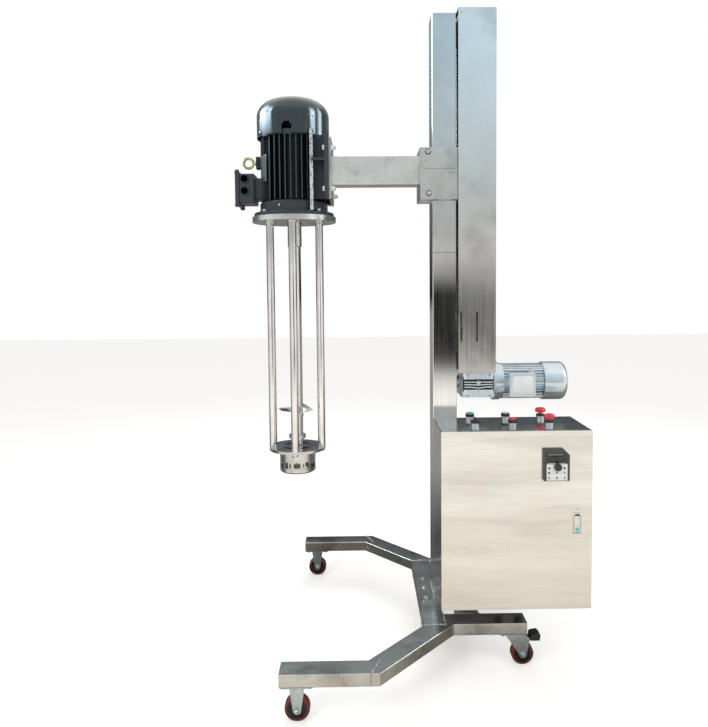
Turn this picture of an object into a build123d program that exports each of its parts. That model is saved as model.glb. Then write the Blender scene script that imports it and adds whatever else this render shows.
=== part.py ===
# High shear mixer on a mobile lifting stand.
# Origin: on the floor, under the centre of the overall outline. +Z is up, the mixing head
# hangs toward -X, the door of the control cabinet faces -Y.
from build123d import *
from math import cos, sin, tan, radians, degrees
import os

os.makedirs("parts", exist_ok=True)

# Driving dimensions, in millimetres

# Fits and gaps
slip = 0.05  # radial gap of running and bolted fits
part_gap = 0.4  # gap between pieces that move past each other
edge_round = 3

# Stand: rectangular tubes
tube_width = 75
tube_height = 40
tube_wall = 3
deck_z = 157  # top face of the base tubes
mast_x = 140  # centre of the mast
crossbeam_offset = 62  # from the mast's centre to each crossbeam's centre
rear_leg_y = 230
rear_leg_reach = 250  # from the mast's centre to the leg's end
outrigger_y = 515
outrigger_reach = 555  # from the mast's centre to the outrigger's end
diagonal_angle = 48

# Mast
mast_width = 87
mast_depth = 104
mast_wall = 4
mast_top_z = 2247
foot_plate_width = 176
foot_plate_depth = 210
foot_plate_thickness = 8
foot_plate_corner = 6
foot_bolt_radius = 5
foot_bolt_spread_x = 140
foot_bolt_spacing_y = 80

# Cover of the lifting screw
cover_gap = 2
cover_width = 133
cover_depth = 164
cover_sheet = 3
cover_bottom_z = 982
cover_top_z = 2255
cover_slot_width = 6.5
cover_slot_length = 110
cover_slot_z = 1149
cover_slot_offsets = (10, 66)

# Lifting screw
screw_offset = 121  # from the mast's centre
screw_radius = 15
screw_journal_radius = 12.5
screw_top_journal_radius = 10
bearing_plate_thickness = 12
top_bearing_drop = 40

# Lifting carriage
carriage_bottom_z = 1598
carriage_height = 182
carriage_depth = 140
carriage_left = 87.5  # from the mast's centre
carriage_right = 65
carriage_wall = 5
pad_height = 40
nut_flange_radius = 30
nut_body_radius = 22
nut_length = 60
nut_flange_thickness = 10
nut_plate_thickness = 12

# Arm
arm_depth = 82
arm_height = 98
arm_wall = 5
arm_bottom_z = 1655
arm_cover_sheet = 1.5
arm_cover_depth = 41

# Mixer axis and motor, frame size 132 with feet and flange
mixer_reach = 538.5  # from the mast's centre
flange_face_z = 1544
shaft_height = 132
foot_hole_spread = 216
foot_hole_spacing = 140
foot_hole_offset = 89
motor_bolt_radius = 6
motor_core_radius = 99
motor_fin_radius = 117
motor_fin_spacing = 19
motor_fin_thickness = 4.5
motor_frame_bottom_z = 1600
motor_frame_top_z = 1820
cowl_radius = 129
cowl_wall = 2.5
cowl_bottom_z = 1822
cowl_top_z = 1960
motor_flange_radius = 143
motor_flange_thickness = 14
flange_bolt_reach = 132.5
motor_shaft_radius = 19
motor_shaft_drop = 80
mount_plate_thickness = 8
mount_plate_depth = 240
mount_plate_height = 215
mount_plate_corner = 8

# Mixing tool
head_flange_radius = 150
head_flange_thickness = 20
head_flange_bore = 30
rod_radius = 14
rod_reach = 89
holder_top_z = 708
holder_thickness = 10
holder_radius = 103
holder_hub_radius = 23
holder_hub_height = 30
bush_flange_radius = 31
bush_flange_thickness = 12
stator_radius = 65.5
stator_wall = 7
stator_height = 81
stator_hole_radius = 12.5
stator_hole_count = 12
stator_hole_rise = 31
shear_gap = 0.5
rotor_blade_count = 6
coupling_radius = 25
coupling_length = 100
propeller_radius = 64
propeller_hub_radius = 23
propeller_hub_height = 46
propeller_z = 842
propeller_blade_count = 3

# Gearbox and lifting motor
gearbox_width = 120
gearbox_front = 60
gearbox_back = 84
gearbox_height = 88
gearbox_drop = 4
worm_offset = 50
lift_flange_radius = 70
lift_body_radius = 66
lift_cowl_radius = 71
lift_motor_length = 180
lift_cowl_length = 80.5

# Control cabinet
cabinet_width = 500
cabinet_height = 600
cabinet_depth = 218
cabinet_bottom_z = 216
cabinet_sheet = 2.5
cabinet_lip = 20
cabinet_corner = 3
cabinet_side_inset = 1.5
door_gap = 2.5
door_depth = 17.5
door_return = 2
hinge_pin_radius = 2.5
hinge_set_in = 5
hinge_bracket_height = 12

# Controls on the cabinet's top
control_columns = (84, 211, 336)  # from the mast's centre
control_rows = (-92, -207)
control_hole_radius = 11.2

# Casters
wheel_radius = 38
wheel_width = 32
axle_radius = 5
caster_plate_thickness = 3
fork_sheet = 3
fork_gap = 3
rigid_caster_inset = 52
swivel_inset = 46
swivel_trail = 36

# Derived places
half_tube = tube_width / 2
mast_half = mast_width / 2
mast_front_y = -mast_depth / 2
tube_bottom_z = deck_z - tube_height
mixer_x = mast_x - mixer_reach
mount_face_x = mixer_x + shaft_height
foot_hole_z = flange_face_z + foot_hole_offset + foot_hole_spacing / 2
screw_x = mast_x + screw_offset
cover_left_x = mast_x + mast_half + cover_gap
cover_right_x = cover_left_x + cover_width
cover_half = cover_depth / 2
foot_plate_top_z = deck_z + foot_plate_thickness
cabinet_left_x = mast_x - mast_half + cabinet_side_inset
cabinet_right_x = cabinet_left_x + cabinet_width
cabinet_front_y = mast_front_y - cabinet_depth
cabinet_top_z = cabinet_bottom_z + cabinet_height
gearbox_z = cover_bottom_z - gearbox_height / 2 - gearbox_drop


def level(z):
    return Plane.XY.offset(z)


def facing(y):
    return Plane.XZ.offset(-y)


def across(x):
    return Plane.YZ.offset(x)


def mixer_level(z):
    return Plane((mixer_x, 0, z))


# Base: two crossbeams
with BuildPart() as crossbeams:
    front_length = 2 * (rear_leg_y + half_tube)
    rear_length = 2 * (rear_leg_y - half_tube)
    for side, length in ((-1, front_length), (1, rear_length)):
        beam_x = mast_x + side * crossbeam_offset
        with BuildSketch(facing(-length / 2)):
            with Locations((beam_x, deck_z - tube_height / 2)):
                RectangleRounded(tube_width, tube_height, edge_round)
                Rectangle(tube_width - 2 * tube_wall, tube_height - 2 * tube_wall, mode=Mode.SUBTRACT)
        extrude(amount=-length)
    with BuildSketch(level(deck_z)):
        with Locations((mast_x, 0)):
            with GridLocations(foot_bolt_spread_x, foot_bolt_spacing_y, 2, 3):
                Circle(foot_bolt_radius + slip)
    extrude(amount=-tube_wall, mode=Mode.SUBTRACT)
crossbeams.part.label = "crossbeams"
export_step(crossbeams.part, "parts/crossbeams.step")

# Places where the diagonals leave the front crossbeam and meet the outriggers
cut_half = half_tube / sin(radians(diagonal_angle))
cut_x = mast_x - crossbeam_offset - half_tube + cut_half
cut_y = rear_leg_y + half_tube
bend_x = cut_x - (outrigger_y - cut_y) / tan(radians(diagonal_angle))


def mitre(half):
    return half * tan(radians(diagonal_angle / 2))


def outrigger_outline(half, cap):
    tip_x = mast_x - outrigger_reach + cap
    return [
        (tip_x, outrigger_y - half),
        (tip_x, outrigger_y + half),
        (bend_x + mitre(half), outrigger_y + half),
        (bend_x - mitre(half), outrigger_y - half),
    ]


def diagonal_outline(half):
    foot = half / sin(radians(diagonal_angle))
    return [
        (bend_x + mitre(half), outrigger_y + half),
        (bend_x - mitre(half), outrigger_y - half),
        (cut_x - foot, cut_y),
        (cut_x + foot, cut_y),
    ]


# Outriggers: closed at the tip, mitred at the bend
with BuildPart() as outriggers:
    with BuildSketch(level(tube_bottom_z)):
        with BuildLine():
            Polyline(*outrigger_outline(half_tube, 0), close=True)
        make_face()
    extrude(amount=tube_height)
    fillet(outriggers.edges().filter_by(Axis.X), edge_round)
    with BuildSketch(level(tube_bottom_z + tube_wall)):
        with BuildLine():
            Polyline(*outrigger_outline(half_tube - tube_wall, tube_wall), close=True)
        make_face()
    extrude(amount=tube_height - 2 * tube_wall, mode=Mode.SUBTRACT)
    mirror(about=Plane.XZ)
outriggers.part.label = "outriggers"
export_step(outriggers.part, "parts/outriggers.step")

# Diagonals: mitred to the outriggers, cut square to the crossbeam's end
with BuildPart() as diagonals:
    with BuildSketch(level(tube_bottom_z)):
        with BuildLine():
            Polyline(*diagonal_outline(half_tube), close=True)
        make_face()
    extrude(amount=tube_height)
    heading = Axis((0, 0, 0), (cos(radians(diagonal_angle)), -sin(radians(diagonal_angle)), 0))
    fillet(diagonals.edges().filter_by(heading), edge_round)
    with BuildSketch(level(tube_bottom_z + tube_wall)):
        with BuildLine():
            Polyline(*diagonal_outline(half_tube - tube_wall), close=True)
        make_face()
    extrude(amount=tube_height - 2 * tube_wall, mode=Mode.SUBTRACT)
    mirror(about=Plane.XZ)
diagonals.part.label = "diagonals"
export_step(diagonals.part, "parts/diagonals.step")

# Rear legs: from the front crossbeam to the swivel casters
rear_leg_start_x = mast_x - crossbeam_offset + half_tube
rear_leg_end_x = mast_x + rear_leg_reach
with BuildPart() as rear_legs:
    with BuildSketch(across(rear_leg_start_x)):
        with Locations((rear_leg_y, deck_z - tube_height / 2)):
            RectangleRounded(tube_width, tube_height, edge_round)
    extrude(amount=rear_leg_end_x - rear_leg_start_x)
    with BuildSketch(across(rear_leg_start_x)):
        with Locations((rear_leg_y, deck_z - tube_height / 2)):
            Rectangle(tube_width - 2 * tube_wall, tube_height - 2 * tube_wall)
    extrude(amount=rear_leg_end_x - rear_leg_start_x - tube_wall, mode=Mode.SUBTRACT)
    mirror(about=Plane.XZ)
rear_legs.part.label = "rear_legs"
export_step(rear_legs.part, "parts/rear_legs.step")

# Foot plate of the mast
with BuildPart() as foot_plate:
    with BuildSketch(level(deck_z)):
        with Locations((mast_x, 0)):
            RectangleRounded(foot_plate_width, foot_plate_depth, foot_plate_corner)
            with GridLocations(foot_bolt_spread_x, foot_bolt_spacing_y, 2, 3):
                Circle(foot_bolt_radius + slip, mode=Mode.SUBTRACT)
    extrude(amount=foot_plate_thickness)
foot_plate.part.label = "foot_plate"
export_step(foot_plate.part, "parts/foot_plate.step")

# Bolts of the foot plate, with their nuts inside the crossbeams
foot_head_height = 6.4
foot_hex_radius = 9.25
foot_nut_height = 8
with BuildPart() as foot_bolts:
    with BuildSketch(level(foot_plate_top_z)):
        with Locations((mast_x, 0)):
            with GridLocations(foot_bolt_spread_x, foot_bolt_spacing_y, 2, 3):
                RegularPolygon(foot_hex_radius, 6)
    extrude(amount=foot_head_height)
    with BuildSketch(level(foot_plate_top_z)):
        with Locations((mast_x, 0)):
            with GridLocations(foot_bolt_spread_x, foot_bolt_spacing_y, 2, 3):
                Circle(foot_bolt_radius)
    extrude(amount=-(foot_plate_thickness + tube_wall))
    with BuildSketch(level(deck_z - tube_wall)):
        with Locations((mast_x, 0)):
            with GridLocations(foot_bolt_spread_x, foot_bolt_spacing_y, 2, 3):
                RegularPolygon(foot_hex_radius, 6)
    extrude(amount=-foot_nut_height)
foot_bolts.part.label = "foot_bolts"
export_step(foot_bolts.part, "parts/foot_bolts.step")

# Mast: rectangular tube with a welded top
with BuildPart() as mast:
    with BuildSketch(level(foot_plate_top_z)):
        with Locations((mast_x, 0)):
            RectangleRounded(mast_width, mast_depth, edge_round)
    extrude(amount=mast_top_z - foot_plate_top_z)
    with BuildSketch(level(foot_plate_top_z)):
        with Locations((mast_x, 0)):
            Rectangle(mast_width - 2 * mast_wall, mast_depth - 2 * mast_wall)
    extrude(amount=mast_top_z - foot_plate_top_z - mast_wall, mode=Mode.SUBTRACT)
mast.part.label = "mast"
export_step(mast.part, "parts/mast.step")

# Screw cover: folded channel, open toward the mast, with two slots for the limit switches
with BuildPart() as screw_cover:
    with BuildSketch(level(cover_bottom_z)):
        with Locations((cover_left_x, 0)):
            Rectangle(cover_width, cover_depth, align=(Align.MIN, Align.CENTER))
        with Locations((cover_left_x, 0)):
            Rectangle(
                cover_width - cover_sheet,
                cover_depth - 2 * cover_sheet,
                align=(Align.MIN, Align.CENTER),
                mode=Mode.SUBTRACT,
            )
    extrude(amount=cover_top_z - cover_bottom_z)
    with BuildSketch(level(cover_top_z - cover_sheet)):
        with Locations((cover_left_x, 0)):
            Rectangle(cover_width, cover_depth, align=(Align.MIN, Align.CENTER))
    extrude(amount=cover_sheet)
    with BuildSketch(facing(-cover_half)):
        for offset_x in cover_slot_offsets:
            with Locations((cover_left_x + offset_x, cover_slot_z)):
                SlotOverall(cover_slot_length, cover_slot_width, rotation=90)
    extrude(amount=-cover_sheet, mode=Mode.SUBTRACT)
screw_cover.part.label = "screw_cover"
export_step(screw_cover.part, "parts/screw_cover.step")

# Bearing plates: carry the screw and hold the cover to the mast
bearing_top_z = cover_top_z - top_bearing_drop
with BuildPart() as bearing_plates:
    for plate_z, hole in (
        (cover_bottom_z, screw_journal_radius),
        (bearing_top_z, screw_top_journal_radius),
    ):
        with BuildSketch(level(plate_z)):
            with Locations((mast_x + mast_half, 0)):
                Rectangle(
                    cover_right_x - cover_sheet - mast_x - mast_half,
                    cover_depth - 2 * cover_sheet,
                    align=(Align.MIN, Align.CENTER),
                )
            with Locations((screw_x, 0)):
                Circle(hole + slip, mode=Mode.SUBTRACT)
        extrude(amount=bearing_plate_thickness)
bearing_plates.part.label = "bearing_plates"
export_step(bearing_plates.part, "parts/bearing_plates.step")

# Limit switches behind the slots of the cover
switch_width = 22
switch_height = 50
switch_depth = 8
switch_corner = 2
switch_rise = 25
switch_shift = 4
with BuildPart() as limit_switches:
    for offset_x, rise in zip(cover_slot_offsets, (-switch_rise, switch_rise)):
        with BuildSketch(facing(-cover_half + cover_sheet)):
            with Locations((cover_left_x + offset_x + switch_shift, cover_slot_z + rise)):
                RectangleRounded(switch_width, switch_height, switch_corner)
        extrude(amount=-switch_depth)
limit_switches.part.label = "limit_switches"
export_step(limit_switches.part, "parts/limit_switches.step")

# Lifting screw: journals in the gearbox and in the top bearing
screw_foot_rise = 6
screw_end_reach = 8
screw_bottom_z = gearbox_z - gearbox_height / 2 + screw_foot_rise
screw_shoulder_z = cover_bottom_z + bearing_plate_thickness + part_gap
screw_neck_z = bearing_top_z - part_gap
with BuildPart() as lifting_screw:
    for radius, start_z, end_z in (
        (screw_journal_radius, screw_bottom_z, screw_shoulder_z),
        (screw_radius, screw_shoulder_z, screw_neck_z),
        (screw_top_journal_radius, screw_neck_z, bearing_top_z + bearing_plate_thickness + screw_end_reach),
    ):
        with BuildSketch(level(start_z)):
            with Locations((screw_x, 0)):
                Circle(radius)
        extrude(amount=end_z - start_z)
lifting_screw.part.label = "lifting_screw"
export_step(lifting_screw.part, "parts/lifting_screw.step")

# Carriage: welded sleeve round the mast, with a plate for the lifting nut
carriage_top_z = carriage_bottom_z + carriage_height
carriage_length = carriage_left + carriage_right
nut_plate_rise = 60
nut_plate_margin = 6
gusset = 34
nut_plate_z = carriage_bottom_z + nut_plate_rise
nut_plate_end_x = screw_x + nut_flange_radius + nut_plate_margin
with BuildPart() as carriage:
    with BuildSketch(level(carriage_bottom_z)):
        with Locations((mast_x - carriage_left, 0)):
            Rectangle(carriage_length, carriage_depth, align=(Align.MIN, Align.CENTER))
        with Locations((mast_x - carriage_left + carriage_wall, 0)):
            Rectangle(
                carriage_length - 2 * carriage_wall,
                carriage_depth - 2 * carriage_wall,
                align=(Align.MIN, Align.CENTER),
                mode=Mode.SUBTRACT,
            )
    extrude(amount=carriage_height)
    with BuildSketch(level(nut_plate_z)):
        with Locations((mast_x + carriage_right, 0)):
            Rectangle(
                nut_plate_end_x - mast_x - carriage_right,
                2 * (nut_flange_radius + nut_plate_margin),
                align=(Align.MIN, Align.CENTER),
            )
        with Locations((screw_x, 0)):
            Circle(nut_body_radius + slip, mode=Mode.SUBTRACT)
    extrude(amount=nut_plate_thickness)
    for side in (-1, 1):
        gusset_y = side * (nut_flange_radius + nut_plate_margin / 2) + carriage_wall / 2
        with BuildSketch(facing(gusset_y)):
            with BuildLine():
                Polyline(
                    (mast_x + carriage_right, nut_plate_z),
                    (mast_x + carriage_right + gusset, nut_plate_z),
                    (mast_x + carriage_right, nut_plate_z - gusset),
                    close=True,
                )
            make_face()
        extrude(amount=carriage_wall)
carriage.part.label = "carriage"
export_step(carriage.part, "parts/carriage.step")

# Guide pads: plastic blocks between the carriage and the mast
left_pad = carriage_left - carriage_wall - mast_half - part_gap
right_pad = carriage_right - carriage_wall - mast_half - part_gap
face_pad = (carriage_depth - mast_depth) / 2 - carriage_wall - part_gap
side_pad_width = 70
face_pad_width = 50
with BuildPart() as guide_pads:
    for pad_z in (carriage_bottom_z, carriage_top_z - pad_height):
        with BuildSketch(level(pad_z)):
            with Locations((mast_x - carriage_left + carriage_wall, 0)):
                Rectangle(left_pad, side_pad_width, align=(Align.MIN, Align.CENTER))
            with Locations((mast_x + carriage_right - carriage_wall, 0)):
                Rectangle(right_pad, side_pad_width, align=(Align.MAX, Align.CENTER))
            for side in (-1, 1):
                with Locations((mast_x, side * (mast_depth / 2 + part_gap + face_pad / 2))):
                    Rectangle(face_pad_width, face_pad)
        extrude(amount=pad_height)
guide_pads.part.label = "guide_pads"
export_step(guide_pads.part, "parts/guide_pads.step")

# Lifting nut: flanged bronze bush on the carriage's plate
with BuildPart() as lifting_nut:
    with BuildSketch(level(nut_plate_z + nut_plate_thickness)):
        with Locations((screw_x, 0)):
            Circle(nut_flange_radius)
    extrude(amount=nut_flange_thickness)
    with BuildSketch(level(nut_plate_z + nut_plate_thickness)):
        with Locations((screw_x, 0)):
            Circle(nut_body_radius)
    extrude(amount=-(nut_length - nut_flange_thickness))
    with BuildSketch(level(nut_plate_z + nut_plate_thickness + nut_flange_thickness)):
        with Locations((screw_x, 0)):
            Circle(screw_radius + slip)
    extrude(amount=-nut_length, mode=Mode.SUBTRACT)
lifting_nut.part.label = "lifting_nut"
export_step(lifting_nut.part, "parts/lifting_nut.step")

# Arm: channel open at the top, from the carriage to the motor's plate
arm_start_x = mount_face_x + mount_plate_thickness
arm_end_x = mast_x - carriage_left
with BuildPart() as arm:
    with BuildSketch(across(arm_start_x)):
        with Locations((0, arm_bottom_z)):
            Rectangle(arm_depth, arm_height, align=(Align.CENTER, Align.MIN))
        with Locations((0, arm_bottom_z + arm_wall)):
            Rectangle(
                arm_depth - 2 * arm_wall,
                arm_height - arm_wall,
                align=(Align.CENTER, Align.MIN),
                mode=Mode.SUBTRACT,
            )
    extrude(amount=arm_end_x - arm_start_x)
    fillet(arm.edges().filter_by(Axis.X).group_by(Axis.Z)[0], edge_round)
arm.part.label = "arm"
export_step(arm.part, "parts/arm.step")

# Arm cover: folded lid over the channel
arm_top_z = arm_bottom_z + arm_height
with BuildPart() as arm_cover:
    with BuildSketch(across(arm_start_x)):
        with Locations((0, arm_top_z + arm_cover_sheet)):
            Rectangle(
                arm_depth + 2 * arm_cover_sheet, arm_cover_depth, align=(Align.CENTER, Align.MAX)
            )
        with Locations((0, arm_top_z)):
            Rectangle(
                arm_depth, arm_cover_depth, align=(Align.CENTER, Align.MAX), mode=Mode.SUBTRACT
            )
    extrude(amount=arm_end_x - arm_start_x)
arm_cover.part.label = "arm_cover"
export_step(arm_cover.part, "parts/arm_cover.step")

# Mounting plate between the arm and the motor's feet
with BuildPart() as motor_plate:
    with BuildSketch(across(mount_face_x)):
        with Locations((0, foot_hole_z)):
            RectangleRounded(mount_plate_depth, mount_plate_height, mount_plate_corner)
            with GridLocations(foot_hole_spread, foot_hole_spacing, 2, 2):
                Circle(motor_bolt_radius + slip, mode=Mode.SUBTRACT)
    extrude(amount=mount_plate_thickness)
motor_plate.part.label = "motor_plate"
export_step(motor_plate.part, "parts/motor_plate.step")

# Motor frame: core with fins in four quadrants, foot rails, feet and two flat seats
frame_height = motor_frame_top_z - motor_frame_bottom_z
foot_pad_thickness = 15
foot_pad_width = 56
rail_y = 102
rail_width = 13
rail_depth = 44
foot_web_y = 86
foot_web = 12
rib_width = 44
rib_thickness = 8
rib_rise = 24
top_ring = 18
lug_gap = 1
ledge_gap = 0.5
lug_radius = cowl_radius - cowl_wall - lug_gap
lug_width = 24
ledge = 4
box_z = 1643
seat_width = 84
seat_height = 76
seat_corner = 8
eye_z = 1739
eye_seat_width = 34
eye_seat_height = 44
eye_seat_corner = 6
rail_offset = 72
rail_x = mixer_x + rail_offset
with BuildPart() as motor_frame:
    with BuildSketch(mixer_level(motor_frame_bottom_z)):
        Circle(motor_core_radius)
        for step in range(-4, 5):
            with Locations((step * motor_fin_spacing, 0)):
                Rectangle(motor_fin_thickness, 2 * motor_fin_radius)
        for step in range(-3, 4):
            with Locations((0, step * motor_fin_spacing)):
                Rectangle(2 * motor_fin_radius, motor_fin_thickness)
        Circle(motor_fin_radius, mode=Mode.INTERSECT)
    extrude(amount=frame_height)
    with BuildSketch(mixer_level(motor_frame_top_z)):
        Circle(motor_fin_radius)
        with PolarLocations(lug_radius, 4, start_angle=45):
            Rectangle(lug_width, lug_width, align=(Align.MAX, Align.CENTER))
    extrude(amount=top_ring)
    with BuildSketch(mixer_level(cowl_bottom_z)):
        with PolarLocations(cowl_radius - ledge_gap, 4, start_angle=45):
            Rectangle(lug_width, lug_width, align=(Align.MAX, Align.CENTER))
    extrude(amount=-ledge)
    for side in (-1, 1):
        with BuildSketch(level(motor_frame_bottom_z)):
            with Locations((rail_x, side * rail_y)):
                Rectangle(rail_width, rail_depth)
            with Locations((mount_face_x - foot_pad_thickness, side * foot_hole_spread / 2)):
                Rectangle(foot_pad_thickness, foot_pad_width, align=(Align.MIN, Align.CENTER))
            with Locations((rail_x, side * foot_web_y)):
                Rectangle(mount_face_x - rail_x, foot_web, align=(Align.MIN, Align.CENTER))
        extrude(amount=frame_height)
        with BuildSketch(level(foot_hole_z + rib_rise)):
            with Locations((rail_x, side * (foot_web_y + foot_web / 2 + rib_width / 2))):
                Rectangle(mount_face_x - rail_x, rib_width, align=(Align.MIN, Align.CENTER))
        extrude(amount=rib_thickness)
    with BuildSketch(across(mixer_x - motor_fin_radius)):
        with Locations((0, box_z)):
            RectangleRounded(seat_width, seat_height, seat_corner)
        with Locations((0, eye_z)):
            RectangleRounded(eye_seat_width, eye_seat_height, eye_seat_corner)
    extrude(amount=motor_fin_radius - motor_core_radius / 2)
    with BuildSketch(across(mount_face_x)):
        with Locations((0, foot_hole_z)):
            with GridLocations(foot_hole_spread, foot_hole_spacing, 2, 2):
                Circle(motor_bolt_radius + slip)
    extrude(amount=-foot_pad_thickness, mode=Mode.SUBTRACT)
    with BuildSketch(mixer_level(motor_frame_bottom_z)):
        Circle(motor_shaft_radius + slip)
    extrude(amount=frame_height + top_ring, mode=Mode.SUBTRACT)
motor_frame.part.label = "motor_frame"
export_step(motor_frame.part, "parts/motor_frame.step")

# Motor end shield: mounting flange, drum and rails that carry on those of the frame
flange_top_z = flange_face_z + motor_flange_thickness
shield_drum_radius = 121
shield_neck_radius = 112
shield_rim = 3
shield_taper = 10
with BuildPart() as motor_end_shield:
    with BuildSketch(Plane((mixer_x, 0, 0), x_dir=(1, 0, 0), z_dir=(0, -1, 0))):
        with BuildLine():
            Polyline(
                (motor_shaft_radius + slip, motor_frame_bottom_z),
                (motor_shaft_radius + slip, flange_face_z),
                (motor_flange_radius, flange_face_z),
                (motor_flange_radius, flange_top_z - shield_rim),
                (motor_flange_radius - shield_rim, flange_top_z),
                (shield_drum_radius, flange_top_z),
                (shield_drum_radius, motor_frame_bottom_z - shield_taper),
                (shield_neck_radius, motor_frame_bottom_z),
                close=True,
            )
        make_face()
    revolve(axis=Axis((mixer_x, 0, 0), (0, 0, 1)))
    with BuildSketch(mixer_level(flange_top_z)):
        for side in (-1, 1):
            with Locations((rail_x - mixer_x, side * rail_y)):
                Rectangle(rail_width, rail_depth)
    extrude(amount=motor_frame_bottom_z - flange_top_z)
    with BuildSketch(mixer_level(flange_face_z)):
        with PolarLocations(flange_bolt_reach, 4, start_angle=45):
            Circle(motor_bolt_radius + slip)
    extrude(amount=motor_flange_thickness, mode=Mode.SUBTRACT)
motor_end_shield.part.label = "motor_end_shield"
export_step(motor_end_shield.part, "parts/motor_end_shield.step")

# Motor cowl: pressed dome on the frame's ledges, with a skirt notch and an air grille
dome_rise = 75
crown_radius = 48
notch_offset = -11
notch_width = 34
notch_height = 30
notch_step = 6
notch_neck = 8
notch_cut = 40
grille_first = 14
grille_spacing = 10
grille_slot = 5
with BuildPart() as motor_cowl:
    for inset in (0, cowl_wall):
        with BuildSketch(Plane((mixer_x, 0, 0), x_dir=(1, 0, 0), z_dir=(0, -1, 0))):
            with BuildLine():
                side_radius = cowl_radius - inset
                crown_z = cowl_top_z - inset
                dome_z = cowl_bottom_z + dome_rise
                Line((0, cowl_bottom_z), (side_radius, cowl_bottom_z))
                Line((side_radius, cowl_bottom_z), (side_radius, dome_z))
                EllipticalCenterArc(
                    (crown_radius, dome_z), side_radius - crown_radius, crown_z - dome_z, arc_size=90
                )
                Line((crown_radius, crown_z), (0, crown_z))
                Line((0, crown_z), (0, cowl_bottom_z))
            make_face()
        revolve(
            axis=Axis((mixer_x, 0, 0), (0, 0, 1)),
            mode=Mode.ADD if inset == 0 else Mode.SUBTRACT,
        )
    with BuildSketch(facing(-cowl_radius - part_gap)):
        with Locations((mixer_x + notch_offset, cowl_bottom_z)):
            Rectangle(notch_width, notch_height, align=(Align.CENTER, Align.MIN))
        with Locations((mixer_x + notch_offset, cowl_bottom_z + notch_height)):
            Rectangle(notch_width - 2 * notch_step, notch_neck, align=(Align.CENTER, Align.MIN))
    extrude(amount=-notch_cut, mode=Mode.SUBTRACT)
    with BuildSketch(mixer_level(cowl_top_z)):
        for ring in range(4):
            ring_radius = grille_first + ring * grille_spacing
            bridge = degrees((grille_slot + 4) / ring_radius)
            for quarter in range(4):
                start = 90 * quarter + 45 * (ring % 2) + bridge / 2
                SlotArc(CenterArc((0, 0), ring_radius, start, 90 - bridge), grille_slot)
    extrude(amount=-cowl_wall, mode=Mode.SUBTRACT)
motor_cowl.part.label = "motor_cowl"
export_step(motor_cowl.part, "parts/motor_cowl.step")

# Motor bolts: four through the flanges, four through the feet
bolt_hex_radius = 9.6
bolt_head_height = 7.5
bolt_nut_height = 10
bolt_end = 6
with BuildPart() as motor_bolts:
    with BuildSketch(mixer_level(flange_top_z)):
        with PolarLocations(flange_bolt_reach, 4, start_angle=45):
            RegularPolygon(bolt_hex_radius, 6)
    extrude(amount=bolt_head_height)
    with BuildSketch(mixer_level(flange_top_z)):
        with PolarLocations(flange_bolt_reach, 4, start_angle=45):
            Circle(motor_bolt_radius)
    extrude(amount=-(motor_flange_thickness + head_flange_thickness))
    inner_face_x = mount_face_x - foot_pad_thickness
    outer_face_x = mount_face_x + mount_plate_thickness
    for start_x, length in ((inner_face_x, -bolt_head_height), (outer_face_x, bolt_nut_height)):
        with BuildSketch(across(start_x)):
            with Locations((0, foot_hole_z)):
                with GridLocations(foot_hole_spread, foot_hole_spacing, 2, 2):
                    RegularPolygon(bolt_hex_radius, 6)
        extrude(amount=length)
    with BuildSketch(across(inner_face_x)):
        with Locations((0, foot_hole_z)):
            with GridLocations(foot_hole_spread, foot_hole_spacing, 2, 2):
                Circle(motor_bolt_radius)
    extrude(amount=outer_face_x + bolt_nut_height + bolt_end - inner_face_x)
motor_bolts.part.label = "motor_bolts"
export_step(motor_bolts.part, "parts/motor_bolts.step")

# Terminal box on its seat: two cable entries facing forward, and a lid with four lugs
box_reach = 188
box_outer_x = mixer_x - box_reach
box_depth = 51
box_side = 116
box_height = 104
box_wall = 5
box_corner = 8
lid_thickness = 14
lid_side = 124
lid_height = 118
lid_lug_radius = 9
lid_lug_y = 57
lid_lug_z = 56.5
lid_edge = 2
entry_radius = 12.5
entry_boss_radius = 16
entry_boss_rise = 4
entry_offset = 19  # from the box's open face
entry_rise = 12
entry_z = box_z + entry_rise
entry_spacing = 42
with BuildPart() as terminal_box:
    with BuildSketch(across(box_outer_x + box_depth)):
        with Locations((0, box_z)):
            RectangleRounded(seat_width, seat_height, box_corner)
    extrude(amount=mixer_x - motor_fin_radius - box_outer_x - box_depth)
    with BuildSketch(across(box_outer_x)):
        with Locations((0, box_z)):
            RectangleRounded(box_side, box_height, box_corner)
    extrude(amount=box_depth)
    with BuildSketch(facing(-box_side / 2)):
        with Locations((box_outer_x + entry_offset, entry_z)):
            with GridLocations(0, entry_spacing, 1, 2):
                Circle(entry_boss_radius)
    extrude(amount=entry_boss_rise)
    with BuildSketch(across(box_outer_x)):
        with Locations((0, box_z)):
            Rectangle(box_side - 2 * box_wall, box_height - 2 * box_wall)
    extrude(amount=box_depth - box_wall, mode=Mode.SUBTRACT)
    with BuildSketch(facing(-box_side / 2 - entry_boss_rise)):
        with Locations((box_outer_x + entry_offset, entry_z)):
            with GridLocations(0, entry_spacing, 1, 2):
                Circle(entry_radius)
    extrude(amount=-(entry_boss_rise + box_wall), mode=Mode.SUBTRACT)
    with BuildSketch(across(box_outer_x - slip)):
        with Locations((0, box_z)):
            RectangleRounded(lid_side, lid_height, box_corner)
            with GridLocations(2 * lid_lug_y, 2 * lid_lug_z, 2, 2):
                Circle(lid_lug_radius)
    extrude(amount=-lid_thickness)
    chamfer(terminal_box.faces().sort_by(Axis.X)[0].edges(), lid_edge)
terminal_box.part.label = "terminal_box"
export_step(terminal_box.part, "parts/terminal_box.step")

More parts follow.
